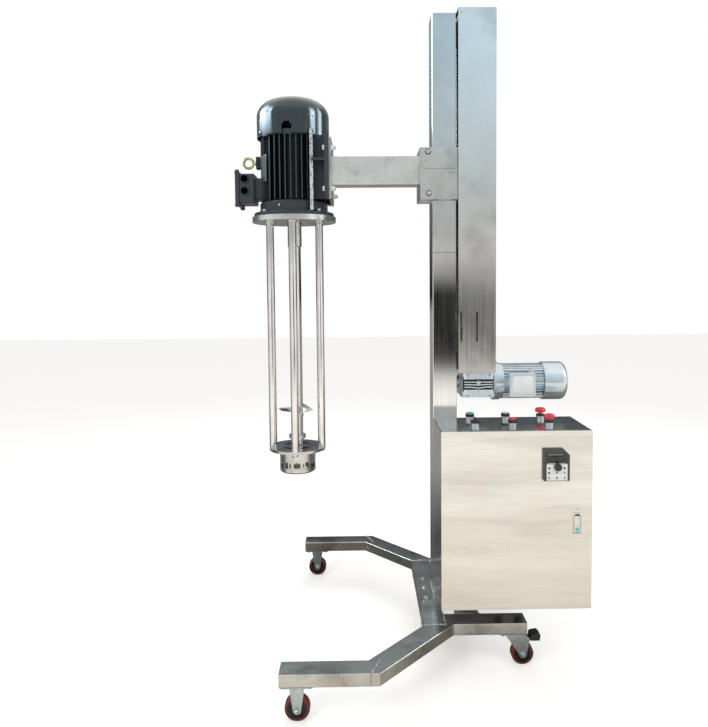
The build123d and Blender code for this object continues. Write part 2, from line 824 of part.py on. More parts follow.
# Lifting eye on its lug: a ring with a flat inner band
eye_reach = 162
eye_x = mixer_x - eye_reach
eye_inner = 12.5
eye_outer = 22
eye_width = 9
eye_fillet = 2.4
eye_stem_radius = 5
eye_collar_radius = 9
eye_collar = 4
eye_lug = 16
eye_stem_start = eye_x + 15.5
with BuildPart() as lifting_eye:
    with BuildSketch(facing(eye_width / 2)):
        with Locations((eye_x, eye_z)):
            Circle(eye_outer)
            Circle(eye_inner, mode=Mode.SUBTRACT)
    extrude(amount=eye_width)
    fillet(lifting_eye.edges().filter_by(GeomType.CIRCLE), eye_fillet)
    lug_x = mixer_x - motor_fin_radius - eye_lug
    with BuildSketch(across(eye_stem_start)):
        with Locations((0, eye_z)):
            Circle(eye_stem_radius)
    extrude(amount=lug_x - eye_stem_start)
    with BuildSketch(across(lug_x)):
        with Locations((0, eye_z)):
            Circle(eye_collar_radius)
    extrude(amount=-eye_collar)
    with BuildSketch(across(lug_x)):
        with Locations((0, eye_z)):
            RectangleRounded(eye_seat_width, eye_seat_height, eye_seat_corner)
    extrude(amount=eye_lug)
lifting_eye.part.label = "lifting_eye"
export_step(lifting_eye.part, "parts/lifting_eye.step")

# Head flange under the motor, bored for the flange bolts and the rods
head_bottom_z = flange_face_z - head_flange_thickness
rod_spigot_radius = 10
rod_foot_radius = 8
rod_end_gap = 2
head_edge = 1.5
with BuildPart() as head_flange:
    with BuildSketch(mixer_level(head_bottom_z)):
        Circle(head_flange_radius)
        Circle(head_flange_bore, mode=Mode.SUBTRACT)
        with PolarLocations(flange_bolt_reach, 4, start_angle=45):
            Circle(motor_bolt_radius + slip, mode=Mode.SUBTRACT)
        with PolarLocations(rod_reach, 4):
            Circle(rod_spigot_radius + slip, mode=Mode.SUBTRACT)
    extrude(amount=head_flange_thickness)
    chamfer(head_flange.faces().sort_by(Axis.Z)[0].outer_wire().edges(), head_edge)
head_flange.part.label = "head_flange"
export_step(head_flange.part, "parts/head_flange.step")

# Tie rods: spigots at both ends, with cap nuts under the holder
rod_nut_radius = 11
rod_nut_height = 9
rod_nut_edge = 3
holder_bottom_z = holder_top_z - holder_thickness
with BuildPart() as tie_rods:
    for radius, start_z, end_z in (
        (rod_spigot_radius, head_bottom_z, flange_face_z - rod_end_gap),
        (rod_radius, holder_top_z, head_bottom_z),
        (rod_foot_radius, holder_bottom_z, holder_top_z),
        (rod_nut_radius, holder_bottom_z - rod_nut_height, holder_bottom_z),
    ):
        with BuildSketch(mixer_level(start_z)):
            with PolarLocations(rod_reach, 4):
                Circle(radius)
        extrude(amount=end_z - start_z)
    fillet(tie_rods.faces().sort_by(Axis.Z)[:4].edges(), rod_nut_edge)
tie_rods.part.label = "tie_rods"
export_step(tie_rods.part, "parts/tie_rods.step")

# Stator holder: plate with four kidney slots, and a hub lined by a flanged bush
kidney_inner = 36
kidney_outer = 58
kidney_half_angle = 24
bush_wall = 1.6
bush_outer = motor_shaft_radius + slip + bush_wall
bush_top_z = holder_top_z + holder_hub_height
with BuildPart() as stator_holder:
    with BuildSketch(mixer_level(holder_bottom_z)):
        Circle(holder_radius)
        with PolarLocations(rod_reach, 4):
            Circle(rod_foot_radius + slip, mode=Mode.SUBTRACT)
    extrude(amount=holder_thickness)
    for quarter in range(4):
        start = 45 + 90 * quarter - kidney_half_angle
        with BuildSketch(mixer_level(holder_top_z)):
            with BuildLine():
                outer_arc = CenterArc((0, 0), kidney_outer, start, 2 * kidney_half_angle)
                inner_arc = CenterArc((0, 0), kidney_inner, start, 2 * kidney_half_angle)
                Line(outer_arc @ 0, inner_arc @ 0)
                Line(outer_arc @ 1, inner_arc @ 1)
            make_face()
        extrude(amount=-holder_thickness, mode=Mode.SUBTRACT)
    with BuildSketch(mixer_level(holder_top_z)):
        Circle(holder_hub_radius)
    extrude(amount=holder_hub_height)
    with BuildSketch(mixer_level(bush_top_z)):
        Circle(bush_outer + slip)
    extrude(amount=-(holder_hub_height + holder_thickness), mode=Mode.SUBTRACT)
    with BuildSketch(mixer_level(holder_bottom_z)):
        Circle(bush_outer)
        Circle(motor_shaft_radius + slip, mode=Mode.SUBTRACT)
    extrude(amount=holder_thickness + holder_hub_height + slip)
    with BuildSketch(mixer_level(bush_top_z + slip)):
        Circle(bush_flange_radius)
        Circle(motor_shaft_radius + slip, mode=Mode.SUBTRACT)
    extrude(amount=bush_flange_thickness)
stator_holder.part.label = "stator_holder"
export_step(stator_holder.part, "parts/stator_holder.step")

# Stator: open cylinder with a ring of round holes and an inlet lip
stator_bottom_z = holder_bottom_z - stator_height
stator_inner = stator_radius - stator_wall
inlet_lip = 12
inlet_lip_thickness = 5
stator_edge = 5
stator_hole_cut = 6
stator_first_hole = -88
with BuildPart() as stator:
    with BuildSketch(mixer_level(stator_bottom_z)):
        Circle(stator_radius)
    extrude(amount=stator_height)
    chamfer(stator.faces().sort_by(Axis.Z)[0].edges(), stator_edge)
    with BuildSketch(mixer_level(stator_bottom_z + inlet_lip_thickness)):
        Circle(stator_inner)
    extrude(amount=stator_height - inlet_lip_thickness, mode=Mode.SUBTRACT)
    with BuildSketch(mixer_level(stator_bottom_z)):
        Circle(stator_inner - inlet_lip)
    extrude(amount=inlet_lip_thickness, mode=Mode.SUBTRACT)
    for turn in range(stator_hole_count):
        bearing = radians(turn * 360 / stator_hole_count + stator_first_hole)
        outward = Vector(cos(bearing), sin(bearing), 0)
        hole_centre = Vector(mixer_x, 0, stator_bottom_z + stator_hole_rise)
        hole_plane = Plane(hole_centre, x_dir=(0, 0, 1), z_dir=outward)
        with BuildSketch(hole_plane.offset(stator_inner - stator_hole_cut)):
            Circle(stator_hole_radius)
        extrude(amount=stator_wall + 2 * stator_hole_cut, mode=Mode.SUBTRACT)
stator.part.label = "stator"
export_step(stator.part, "parts/stator.step")

# Shear rotor: disc, hub and upright blades that run close inside the stator
rotor_drop = 16
rotor_rise = 12
rotor_hub_rise = 8
rotor_disc_z = holder_bottom_z - rotor_drop
rotor_disc_thickness = 7
rotor_bottom_z = stator_bottom_z + rotor_rise
rotor_hub_z = rotor_bottom_z + rotor_hub_rise
rotor_tip = stator_inner - shear_gap
rotor_hub_radius = 27
rotor_bore = 14
rotor_blade_lap = 4
blade_thickness = 6
with BuildPart() as shear_rotor:
    with BuildSketch(mixer_level(rotor_disc_z)):
        Circle(rotor_tip)
    extrude(amount=rotor_disc_thickness)
    with BuildSketch(mixer_level(rotor_hub_z)):
        Circle(rotor_hub_radius)
    extrude(amount=rotor_disc_z - rotor_hub_z)
    with BuildSketch(mixer_level(rotor_bottom_z)):
        for blade in range(rotor_blade_count):
            with Locations(Rot(Z=blade * 360 / rotor_blade_count)):
                with Locations((rotor_hub_radius - rotor_blade_lap, 0)):
                    Rectangle(rotor_tip, blade_thickness, align=(Align.MIN, Align.CENTER))
        Circle(rotor_tip, mode=Mode.INTERSECT)
    extrude(amount=rotor_disc_z - rotor_bottom_z)
    with BuildSketch(mixer_level(rotor_bottom_z)):
        Circle(rotor_bore + slip)
    extrude(amount=rotor_disc_z + rotor_disc_thickness - rotor_bottom_z, mode=Mode.SUBTRACT)
shear_rotor.part.label = "shear_rotor"
export_step(shear_rotor.part, "parts/shear_rotor.step")

# Mixer shaft: stepped down through the rotor, with a hexagonal nose under it
shaft_split_z = flange_face_z - motor_shaft_drop
shaft_step_z = rotor_disc_z + rotor_disc_thickness + slip
nose_height = 12
with BuildPart() as mixer_shaft:
    with BuildSketch(mixer_level(shaft_step_z)):
        Circle(motor_shaft_radius)
    extrude(amount=shaft_split_z - part_gap - shaft_step_z)
    with BuildSketch(mixer_level(rotor_hub_z - slip)):
        Circle(rotor_bore)
    extrude(amount=shaft_step_z - rotor_hub_z + slip)
    with BuildSketch(mixer_level(rotor_hub_z - slip)):
        RegularPolygon(motor_shaft_radius, 6)
    extrude(amount=-nose_height)
mixer_shaft.part.label = "mixer_shaft"
export_step(mixer_shaft.part, "parts/mixer_shaft.step")

# Motor shaft with its cooling fan
fan_rise = 30
fan_clearance = 24
fan_blade_count = 7
fan_z = motor_frame_top_z + fan_rise
fan_radius = cowl_radius - fan_clearance
fan_disc = 4
fan_height = 34
fan_hub_radius = 31
with BuildPart() as motor_rotor:
    with BuildSketch(mixer_level(shaft_split_z)):
        Circle(motor_shaft_radius)
    extrude(amount=fan_z + fan_height - shaft_split_z)
    with BuildSketch(mixer_level(fan_z)):
        Circle(fan_radius)
    extrude(amount=fan_disc)
    with BuildSketch(mixer_level(fan_z)):
        Circle(fan_hub_radius)
        for blade in range(fan_blade_count):
            with Locations(Rot(Z=blade * 360 / fan_blade_count)):
                with Locations((motor_shaft_radius, 0)):
                    Rectangle(fan_radius, fan_disc, align=(Align.MIN, Align.CENTER))
        Circle(fan_radius, mode=Mode.INTERSECT)
    extrude(amount=fan_height)
motor_rotor.part.label = "motor_rotor"
export_step(motor_rotor.part, "parts/motor_rotor.step")

# Coupling sleeve between the two shafts
coupling_drop = 6
coupling_edge = 2
coupling_top_z = flange_face_z - coupling_drop
with BuildPart() as shaft_coupling:
    with BuildSketch(mixer_level(coupling_top_z - coupling_length)):
        Circle(coupling_radius)
        Circle(motor_shaft_radius + slip, mode=Mode.SUBTRACT)
    extrude(amount=coupling_length)
    chamfer(shaft_coupling.faces().sort_by(Axis.Z)[0].outer_wire().edges(), coupling_edge)
shaft_coupling.part.label = "shaft_coupling"
export_step(shaft_coupling.part, "parts/shaft_coupling.step")

# Propeller: hub with three pitched and twisted blades
root_angle = 40
tip_angle = 22
root_chord = 34
tip_chord = 48
root_thickness = 5
tip_thickness = 3
first_blade = 172
blade_root = motor_shaft_radius + 1
with BuildPart() as propeller:
    for blade in range(propeller_blade_count):
        bearing = radians(first_blade + blade * 360 / propeller_blade_count)
        outward = Vector(cos(bearing), sin(bearing), 0)
        tangent = Vector(0, 0, 1).cross(outward)
        hub_centre = Vector(mixer_x, 0, propeller_z)
        blade_plane = Plane(hub_centre, x_dir=tangent, z_dir=outward)
        with BuildSketch(blade_plane.offset(blade_root)):
            SlotOverall(root_chord, root_thickness, rotation=root_angle)
        with BuildSketch(blade_plane.offset(propeller_radius)):
            SlotOverall(tip_chord, tip_thickness, rotation=tip_angle)
        loft()
    with BuildSketch(mixer_level(propeller_z - propeller_hub_height / 2)):
        Circle(propeller_hub_radius)
    extrude(amount=propeller_hub_height)
    with BuildSketch(mixer_level(propeller_z - propeller_hub_height)):
        Circle(motor_shaft_radius + slip)
    extrude(amount=2 * propeller_hub_height, mode=Mode.SUBTRACT)
propeller.part.label = "propeller"
export_step(propeller.part, "parts/propeller.step")

# Worm gearbox under the cover: finned recess, bored for the screw, input flange
gearbox_bottom_z = gearbox_z - gearbox_height / 2
gearbox_corner = 16
recess_depth = 10
recess_top = 22
recess_bottom = -16
recess_slant = 8
fin_rise = 8
fin_thickness = 4
fin_reach = 51
fin_bend = 30
fin_levels = ((11.5, 0), (2.5, -1.5), (-7, -2.5))  # height of each fin, and its sag under the plug
plug_radius = 7
plug_rise = 9.5
slot_mark_length = 11
slot_mark_width = 4
slot_mark_drop = 26
slot_mark_depth = 3
pad_hole_spacing_x = 80
pad_hole_spacing_z = 74
pad_hole_radius = 4.25
pad_hole_depth = 12
neck_length = 7
neck_inset = 12
input_flange = 12
worm_cap_radius = 24
worm_cap_depth = 5
output_boss_radius = 50


def fin_outline(rise, sag):
    stations = [-fin_reach, -30, -24, -18, -12, -6, 0, 6, 12, 18, 24, 30, fin_reach]
    outline = []
    for edge, order in ((-fin_thickness / 2, stations), (fin_thickness / 2, stations[::-1])):
        for station in order:
            swing = cos(radians(90 * min(abs(station) / fin_bend, 1))) ** 2
            outline.append((screw_x + station, gearbox_z + rise + sag * swing + edge))
    return outline


with BuildPart() as lift_gearbox:
    with BuildSketch(level(gearbox_bottom_z)):
        with Locations((screw_x, (gearbox_back - gearbox_front) / 2)):
            RectangleRounded(gearbox_width, gearbox_front + gearbox_back, gearbox_corner)
    extrude(amount=gearbox_height)
    with BuildSketch(facing(-gearbox_front)):
        with BuildLine():
            left_x = screw_x - gearbox_width / 2
            right_x = screw_x + gearbox_width / 2
            Polyline(
                (left_x, gearbox_z + recess_top),
                (right_x, gearbox_z + recess_top),
                (right_x, gearbox_z + recess_bottom - recess_slant),
                (right_x - recess_slant, gearbox_z + recess_bottom),
                (left_x + recess_slant, gearbox_z + recess_bottom),
                (left_x, gearbox_z + recess_bottom - recess_slant),
                close=True,
            )
        make_face()
    extrude(amount=-recess_depth, mode=Mode.SUBTRACT)
    with BuildSketch(facing(recess_depth - gearbox_front)):
        for rise, sag in fin_levels:
            with BuildLine():
                Polyline(*fin_outline(rise, sag), close=True)
            make_face()
        with Locations((screw_x, gearbox_z + plug_rise)):
            Circle(plug_radius)
    extrude(amount=fin_rise)
    with BuildSketch(facing(-gearbox_front)):
        with Locations((screw_x, gearbox_z)):
            with GridLocations(pad_hole_spacing_x, pad_hole_spacing_z, 2, 2):
                Circle(pad_hole_radius)
    extrude(amount=-pad_hole_depth, mode=Mode.SUBTRACT)
    with BuildSketch(facing(-gearbox_front)):
        with Locations((screw_x, gearbox_z - slot_mark_drop)):
            SlotOverall(slot_mark_length, slot_mark_width, rotation=90)
    extrude(amount=-slot_mark_depth, mode=Mode.SUBTRACT)
    flange_start_x = screw_x + gearbox_width / 2 + neck_length
    for start_x, radius, length in (
        (screw_x + gearbox_width / 2, lift_flange_radius - neck_inset, neck_length),
        (flange_start_x, lift_flange_radius, input_flange),
        (screw_x - gearbox_width / 2, worm_cap_radius, -worm_cap_depth),
    ):
        with BuildSketch(across(start_x)):
            with Locations((worm_offset, gearbox_z)):
                Circle(radius)
        extrude(amount=length)
    with BuildSketch(level(gearbox_bottom_z)):
        with Locations((screw_x, 0)):
            Circle(output_boss_radius)
    extrude(amount=cover_bottom_z - gearbox_bottom_z)
    with BuildSketch(level(gearbox_bottom_z)):
        with Locations((screw_x, 0)):
            Circle(screw_journal_radius + slip)
    extrude(amount=cover_bottom_z - gearbox_bottom_z, mode=Mode.SUBTRACT)
lift_gearbox.part.label = "lift_gearbox"
export_step(lift_gearbox.part, "parts/lift_gearbox.step")

# Lifting motor: flange, finned body, and a terminal box facing forward with its lid
lift_motor_x = flange_start_x + input_flange
lift_motor_end_x = lift_motor_x + lift_motor_length
lift_box_offset = 79
lift_box_x = lift_motor_x + lift_box_offset
lift_box_width = 94
lift_box_height = 88
lift_box_front = -62
lift_box_back = 10
lift_lid_thickness = 8
lift_lid_lap = 4
lift_lid_corner = 9
lift_lid_edge = 2
lift_box_corner = 6
lift_fin_inset = 9
lift_core_radius = lift_body_radius - lift_fin_inset
lift_fin_spacing = 9.5
lift_fin_thickness = 3
lift_flange_thickness = 12
with BuildPart() as lift_motor:
    for radius, length in (
        (lift_flange_radius, lift_flange_thickness),
        (lift_body_radius, 2 * lift_flange_thickness),
    ):
        with BuildSketch(across(lift_motor_x)):
            with Locations((worm_offset, gearbox_z)):
                Circle(radius)
        extrude(amount=length)
    with BuildSketch(across(lift_motor_x)):
        with Locations((worm_offset, gearbox_z)):
            Circle(lift_core_radius)
            for step in range(-5, 6):
                with Locations((0, step * lift_fin_spacing), (0, -step * lift_fin_spacing)):
                    Rectangle(2 * lift_body_radius, lift_fin_thickness)
            for step in range(-4, 5):
                with Locations((step * lift_fin_spacing, 0)):
                    Rectangle(lift_fin_thickness, 2 * lift_body_radius)
            Circle(lift_body_radius, mode=Mode.INTERSECT)
    extrude(amount=lift_motor_length)
    with BuildSketch(facing(lift_box_front)):
        with Locations((lift_box_x, gearbox_z)):
            RectangleRounded(
                lift_box_width - 2 * lift_lid_lap,
                lift_box_height - 2 * lift_lid_lap,
                lift_box_corner,
            )
    extrude(amount=lift_box_front - lift_box_back)
    with BuildSketch(facing(lift_box_front - slip)):
        with Locations((lift_box_x, gearbox_z)):
            RectangleRounded(lift_box_width, lift_box_height, lift_lid_corner)
    extrude(amount=lift_lid_thickness)
    chamfer(lift_motor.faces().sort_by(Axis.Y)[0].edges(), lift_lid_edge)
lift_motor.part.label = "lift_motor"
export_step(lift_motor.part, "parts/lift_motor.step")

# Fan cowl of the lifting motor, slipped over the ends of the fins
lift_cowl_lap = 6
lift_cowl_back = 6
lift_cowl_edge = 20
lift_cowl_clear = 24
grille_radius = 38
grille_rim = 8
slat_spacing = 10
slat_slot = 5
with BuildPart() as lift_motor_cowl:
    with BuildSketch(across(lift_motor_end_x - lift_cowl_lap)):
        with Locations((worm_offset, gearbox_z)):
            Circle(lift_cowl_radius)
    extrude(amount=lift_cowl_length + lift_cowl_lap)
    fillet(lift_motor_cowl.faces().sort_by(Axis.X)[-1].edges(), lift_cowl_edge)
    with BuildSketch(across(lift_motor_end_x - lift_cowl_lap)):
        with Locations((worm_offset, gearbox_z)):
            Circle(lift_body_radius + slip)
    extrude(amount=lift_cowl_length + lift_cowl_lap - lift_cowl_clear, mode=Mode.SUBTRACT)
    with BuildSketch(across(lift_motor_end_x)):
        with Locations((worm_offset, gearbox_z)):
            Circle(grille_radius + grille_rim)
    extrude(amount=lift_cowl_length - lift_cowl_back, mode=Mode.SUBTRACT)
    with BuildSketch(across(lift_motor_end_x + lift_cowl_length)):
        with Locations((worm_offset, gearbox_z)):
            for step in range(-3, 4):
                chord = (grille_radius**2 - (step * slat_spacing) ** 2) ** 0.5
                with Locations((0, step * slat_spacing)):
                    SlotOverall(2 * chord, slat_slot)
    extrude(amount=-lift_cowl_back, mode=Mode.SUBTRACT)
lift_motor_cowl.part.label = "lift_motor_cowl"
export_step(lift_motor_cowl.part, "parts/lift_motor_cowl.step")

# Control cabinet: folded shell open at the front, with lips for the door
cabinet_x = cabinet_left_x + cabinet_width / 2
cabinet_z = cabinet_bottom_z + cabinet_height / 2
gland_x = cabinet_x
gland_y = mast_front_y - cabinet_depth / 2
gland_spacing = 70
gland_hole_radius = 12.5
with BuildPart() as cabinet:
    with BuildSketch(facing(mast_front_y)):
        with Locations((cabinet_x, cabinet_z)):
            RectangleRounded(cabinet_width, cabinet_height, cabinet_corner)
    extrude(amount=cabinet_depth)
    with BuildSketch(facing(mast_front_y - cabinet_sheet)):
        with Locations((cabinet_x, cabinet_z)):
            Rectangle(cabinet_width - 2 * cabinet_sheet, cabinet_height - 2 * cabinet_sheet)
    extrude(amount=cabinet_depth - 2 * cabinet_sheet, mode=Mode.SUBTRACT)
    with BuildSketch(facing(cabinet_front_y)):
        with Locations((cabinet_x, cabinet_z)):
            Rectangle(cabinet_width - 2 * cabinet_lip, cabinet_height - 2 * cabinet_lip)
    extrude(amount=-cabinet_sheet, mode=Mode.SUBTRACT)
    with BuildSketch(level(cabinet_top_z)):
        for column in control_columns:
            for row in control_rows:
                with Locations((mast_x + column, row)):
                    Circle(control_hole_radius)
    extrude(amount=-cabinet_sheet, mode=Mode.SUBTRACT)
    with BuildSketch(level(cabinet_bottom_z)):
        with Locations((gland_x, gland_y)):
            with GridLocations(gland_spacing, 0, 2, 1):
                Circle(gland_hole_radius + slip)
    extrude(amount=cabinet_sheet, mode=Mode.SUBTRACT)
cabinet.part.label = "cabinet"
export_step(cabinet.part, "parts/cabinet.step")

# Switchgear on its plate: drive, three contactors and the terminal strip
plate_stand = 20
gear_plate_margin = 35
gear_stud_inset = 15
gear_stud_radius = 7
drive_width = 130
drive_height = 220
drive_depth = 120
drive_left = 30
drive_drop = 65
contactor_width = 45
contactor_height = 75
contactor_depth = 80
contactor_right = 50
contactor_drop = 87
strip_width = 160
strip_height = 45
strip_depth = 40
strip_right = 50
strip_rise = 150
gear_plate_y = mast_front_y - cabinet_sheet - plate_stand
gear_plate_width = cabinet_width - 2 * gear_plate_margin
gear_plate_height = cabinet_height - 2 * gear_plate_margin
gear_left_x = cabinet_x - gear_plate_width / 2
gear_right_x = cabinet_x + gear_plate_width / 2
gear_top_z = cabinet_z + gear_plate_height / 2
gear_bottom_z = cabinet_z - gear_plate_height / 2
with BuildPart() as switchgear:
    with BuildSketch(facing(gear_plate_y)):
        with Locations((cabinet_x, cabinet_z)):
            Rectangle(gear_plate_width, gear_plate_height)
    extrude(amount=cabinet_sheet)
    with BuildSketch(facing(gear_plate_y + plate_stand)):
        with Locations((cabinet_x, cabinet_z)):
            with GridLocations(
                gear_plate_width - 2 * gear_stud_inset, gear_plate_height - 2 * gear_stud_inset, 2, 2
            ):
                Circle(gear_stud_radius)
    extrude(amount=plate_stand)
    with BuildSketch(facing(gear_plate_y - cabinet_sheet)):
        with Locations((gear_left_x + drive_left, gear_top_z - drive_drop)):
            Rectangle(drive_width, drive_height, align=(Align.MIN, Align.MAX))
    extrude(amount=drive_depth)
    with BuildSketch(facing(gear_plate_y - cabinet_sheet)):
        for place in range(3):
            right_x = gear_right_x - contactor_right - place * (contactor_width + 5)
            with Locations((right_x, gear_top_z - contactor_drop)):
                Rectangle(contactor_width, contactor_height, align=(Align.MAX, Align.MAX))
    extrude(amount=contactor_depth)
    with BuildSketch(facing(gear_plate_y - cabinet_sheet)):
        with Locations((gear_right_x - strip_right, gear_bottom_z + strip_rise)):
            Rectangle(strip_width, strip_height, align=(Align.MAX, Align.MIN))
    extrude(amount=strip_depth)
switchgear.part.label = "switchgear"
export_step(switchgear.part, "parts/switchgear.step")

# Cable glands in the cabinet's floor
gland_bore = 8
gland_hex_radius = 17
gland_cap_radius = 14
gland_thread = 8
gland_nut_height = 5
gland_hex_height = 10
gland_cap_height = 14
gland_end_z = cabinet_bottom_z - gland_hex_height - gland_cap_height
with BuildPart() as cable_glands:
    for radius, start_z, length in (
        (gland_hole_radius, cabinet_bottom_z, cabinet_sheet + gland_thread),
        (gland_cap_radius, gland_end_z, gland_cap_height),
    ):
        with BuildSketch(level(start_z)):
            with Locations((gland_x, gland_y)):
                with GridLocations(gland_spacing, 0, 2, 1):
                    Circle(radius)
        extrude(amount=length)
    for start_z, length in (
        (cabinet_bottom_z + cabinet_sheet, gland_nut_height),
        (cabinet_bottom_z, -gland_hex_height),
    ):
        with BuildSketch(level(start_z)):
            with Locations((gland_x, gland_y)):
                with GridLocations(gland_spacing, 0, 2, 1):
                    RegularPolygon(gland_hex_radius, 6)
        extrude(amount=length)
    with BuildSketch(level(gland_end_z)):
        with Locations((gland_x, gland_y)):
            with GridLocations(gland_spacing, 0, 2, 1):
                Circle(gland_bore)
    extrude(amount=cabinet_bottom_z + cabinet_sheet + gland_thread - gland_end_z, mode=Mode.SUBTRACT)
cable_glands.part.label = "cable_glands"
export_step(cable_glands.part, "parts/cable_glands.step")

# Concealed hinges: brackets on the cabinet's lip with pins through the door's ears
hinge_margin = 85
hinge_levels = (cabinet_bottom_z + hinge_margin, cabinet_top_z - hinge_margin)
hinge_x = cabinet_left_x + hinge_set_in
hinge_pin_reach = 10
hinge_y = cabinet_front_y - hinge_pin_reach
hinge_arm = 6
hinge_foot_inset = 16
hinge_foot_x = cabinet_left_x + hinge_foot_inset
hinge_foot_width = 8
ear_height = 6
pin_reach = hinge_bracket_height / 2 + part_gap + ear_height
with BuildPart() as door_hinges:
    for middle_z in hinge_levels:
        with BuildSketch(level(middle_z - hinge_bracket_height / 2)):
            with Locations((hinge_x, hinge_y)):
                Circle(hinge_arm / 2)
                Rectangle(
                    hinge_foot_x + hinge_foot_width - hinge_x,
                    hinge_arm,
                    align=(Align.MIN, Align.CENTER),
                )
            with Locations((hinge_foot_x, hinge_y - hinge_arm / 2)):
                Rectangle(
                    hinge_foot_width,
                    cabinet_front_y - hinge_y + hinge_arm / 2,
                    align=(Align.MIN, Align.MIN),
                )
        extrude(amount=hinge_bracket_height)
        with BuildSketch(level(middle_z - pin_reach)):
            with Locations((hinge_x, hinge_y)):
                Circle(hinge_pin_radius)
        extrude(amount=2 * pin_reach)
door_hinges.part.label = "door_hinges"
export_step(door_hinges.part, "parts/door_hinges.step")

# Door: folded tray with two pairs of hinge ears, and openings for the keypad and the lock
door_back_y = cabinet_front_y - door_gap
door_front_y = door_back_y - door_depth
keypad_inset = 122.5
keypad_drop = 111
keypad_x = cabinet_right_x - keypad_inset
keypad_z = cabinet_top_z - keypad_drop
keypad_width = 86
keypad_height = 106
keypad_body_width = 66
keypad_body_height = 86
lock_inset = 50.5
lock_drop = 12
lock_x = cabinet_right_x - lock_inset
lock_z = cabinet_z - lock_drop
lock_width = 28
lock_height = 76
lock_body_width = 24
lock_body_height = 70
ear_left_x = cabinet_left_x + door_return
ear_width = 7
ear_front_reach = 4
ear_notch = 12
with BuildPart() as door:
    with BuildSketch(facing(door_back_y)):
        with Locations((cabinet_x, cabinet_z)):
            RectangleRounded(cabinet_width, cabinet_height, cabinet_corner)
    extrude(amount=door_depth)
    with BuildSketch(facing(door_back_y)):
        with Locations((cabinet_x, cabinet_z)):
            Rectangle(cabinet_width - 2 * door_return, cabinet_height - 2 * door_return)
    extrude(amount=door_depth - cabinet_sheet, mode=Mode.SUBTRACT)
    for middle_z in hinge_levels:
        with BuildSketch(level(middle_z - hinge_bracket_height / 2 - part_gap - ear_height)):
            with Locations((ear_left_x, door_front_y + cabinet_sheet)):
                Rectangle(
                    ear_width,
                    hinge_y + ear_front_reach - door_front_y - cabinet_sheet,
                    align=(Align.MIN, Align.MIN),
                )
        extrude(amount=hinge_bracket_height + 2 * part_gap + 2 * ear_height)
        with BuildSketch(facing(door_back_y)):
            with Locations((cabinet_left_x, middle_z)):
                Rectangle(
                    ear_width + ear_notch,
                    hinge_bracket_height + 2 * part_gap,
                    align=(Align.MIN, Align.CENTER),
                )
        extrude(amount=door_depth - cabinet_sheet, mode=Mode.SUBTRACT)
        with BuildSketch(level(middle_z - pin_reach)):
            with Locations((hinge_x, hinge_y)):
                Circle(hinge_pin_radius + slip)
        extrude(amount=2 * pin_reach, mode=Mode.SUBTRACT)
    with BuildSketch(facing(door_front_y)):
        with Locations((keypad_x, keypad_z)):
            Rectangle(keypad_body_width + 2 * slip, keypad_body_height + 2 * slip)
        with Locations((lock_x, lock_z)):
            Rectangle(lock_body_width + 2 * slip, lock_body_height + 2 * slip)
    extrude(amount=-cabinet_sheet, mode=Mode.SUBTRACT)
door.part.label = "door"
export_step(door.part, "parts/door.step")

# Operator keypad set in the door: bezel with one bevelled corner, body behind
keypad_thickness = 14
keypad_body_depth = 12
keypad_bevel = 20
keypad_corner = 3
keypad_edge = 1.5
knob_shift = 2
knob_drop = 5
knob_x = keypad_x + knob_shift
knob_z = keypad_z - knob_drop
knob_shaft_radius = 3
knob_bore_depth = 10
with BuildPart() as keypad:
    with BuildSketch(facing(door_front_y)):
        with BuildLine():
            left = keypad_x - keypad_width / 2
            right = keypad_x + keypad_width / 2
            low = keypad_z - keypad_height / 2
            high = keypad_z + keypad_height / 2
            Polyline(
                (left, low),
                (right, low),
                (right, high - keypad_bevel),
                (right - keypad_bevel, high),
                (left, high),
                close=True,
            )
        make_face()
    extrude(amount=keypad_thickness)
    fillet(keypad.edges().filter_by(Axis.Y), keypad_corner)
    chamfer(keypad.faces().sort_by(Axis.Y)[0].edges(), keypad_edge)
    with BuildSketch(facing(door_front_y)):
        with Locations((keypad_x, keypad_z)):
            Rectangle(keypad_body_width, keypad_body_height)
    extrude(amount=-keypad_body_depth)
    with BuildSketch(facing(door_front_y - keypad_thickness)):
        with Locations((knob_x, knob_z)):
            Circle(knob_shaft_radius + slip)
    extrude(amount=-knob_bore_depth, mode=Mode.SUBTRACT)
keypad.part.label = "keypad"
export_step(keypad.part, "parts/keypad.step")

# Setting knob of the keypad
knob_radius = 12.5
knob_height = 11
knob_flute_count = 16
knob_flute_radius = 1.4
knob_flute_shift = 0.6
knob_edge = 1.5
with BuildPart() as keypad_knob:
    with BuildSketch(facing(door_front_y - keypad_thickness - part_gap)):
        with Locations((knob_x, knob_z)):
            Circle(knob_radius)
    extrude(amount=knob_height)
    chamfer(keypad_knob.faces().sort_by(Axis.Y)[0].edges(), knob_edge)
    with BuildSketch(facing(door_front_y - keypad_thickness - part_gap - knob_height)):
        with Locations((knob_x, knob_z)):
            with PolarLocations(knob_radius + knob_flute_shift, knob_flute_count):
                Circle(knob_flute_radius)
    extrude(amount=-knob_height, mode=Mode.SUBTRACT)
    with BuildSketch(facing(door_front_y - keypad_thickness - part_gap)):
        with Locations((knob_x, knob_z)):
            Circle(knob_shaft_radius)
    extrude(amount=-(knob_bore_depth - 1))
keypad_knob.part.label = "keypad_knob"
export_step(keypad_knob.part, "parts/keypad_knob.step")

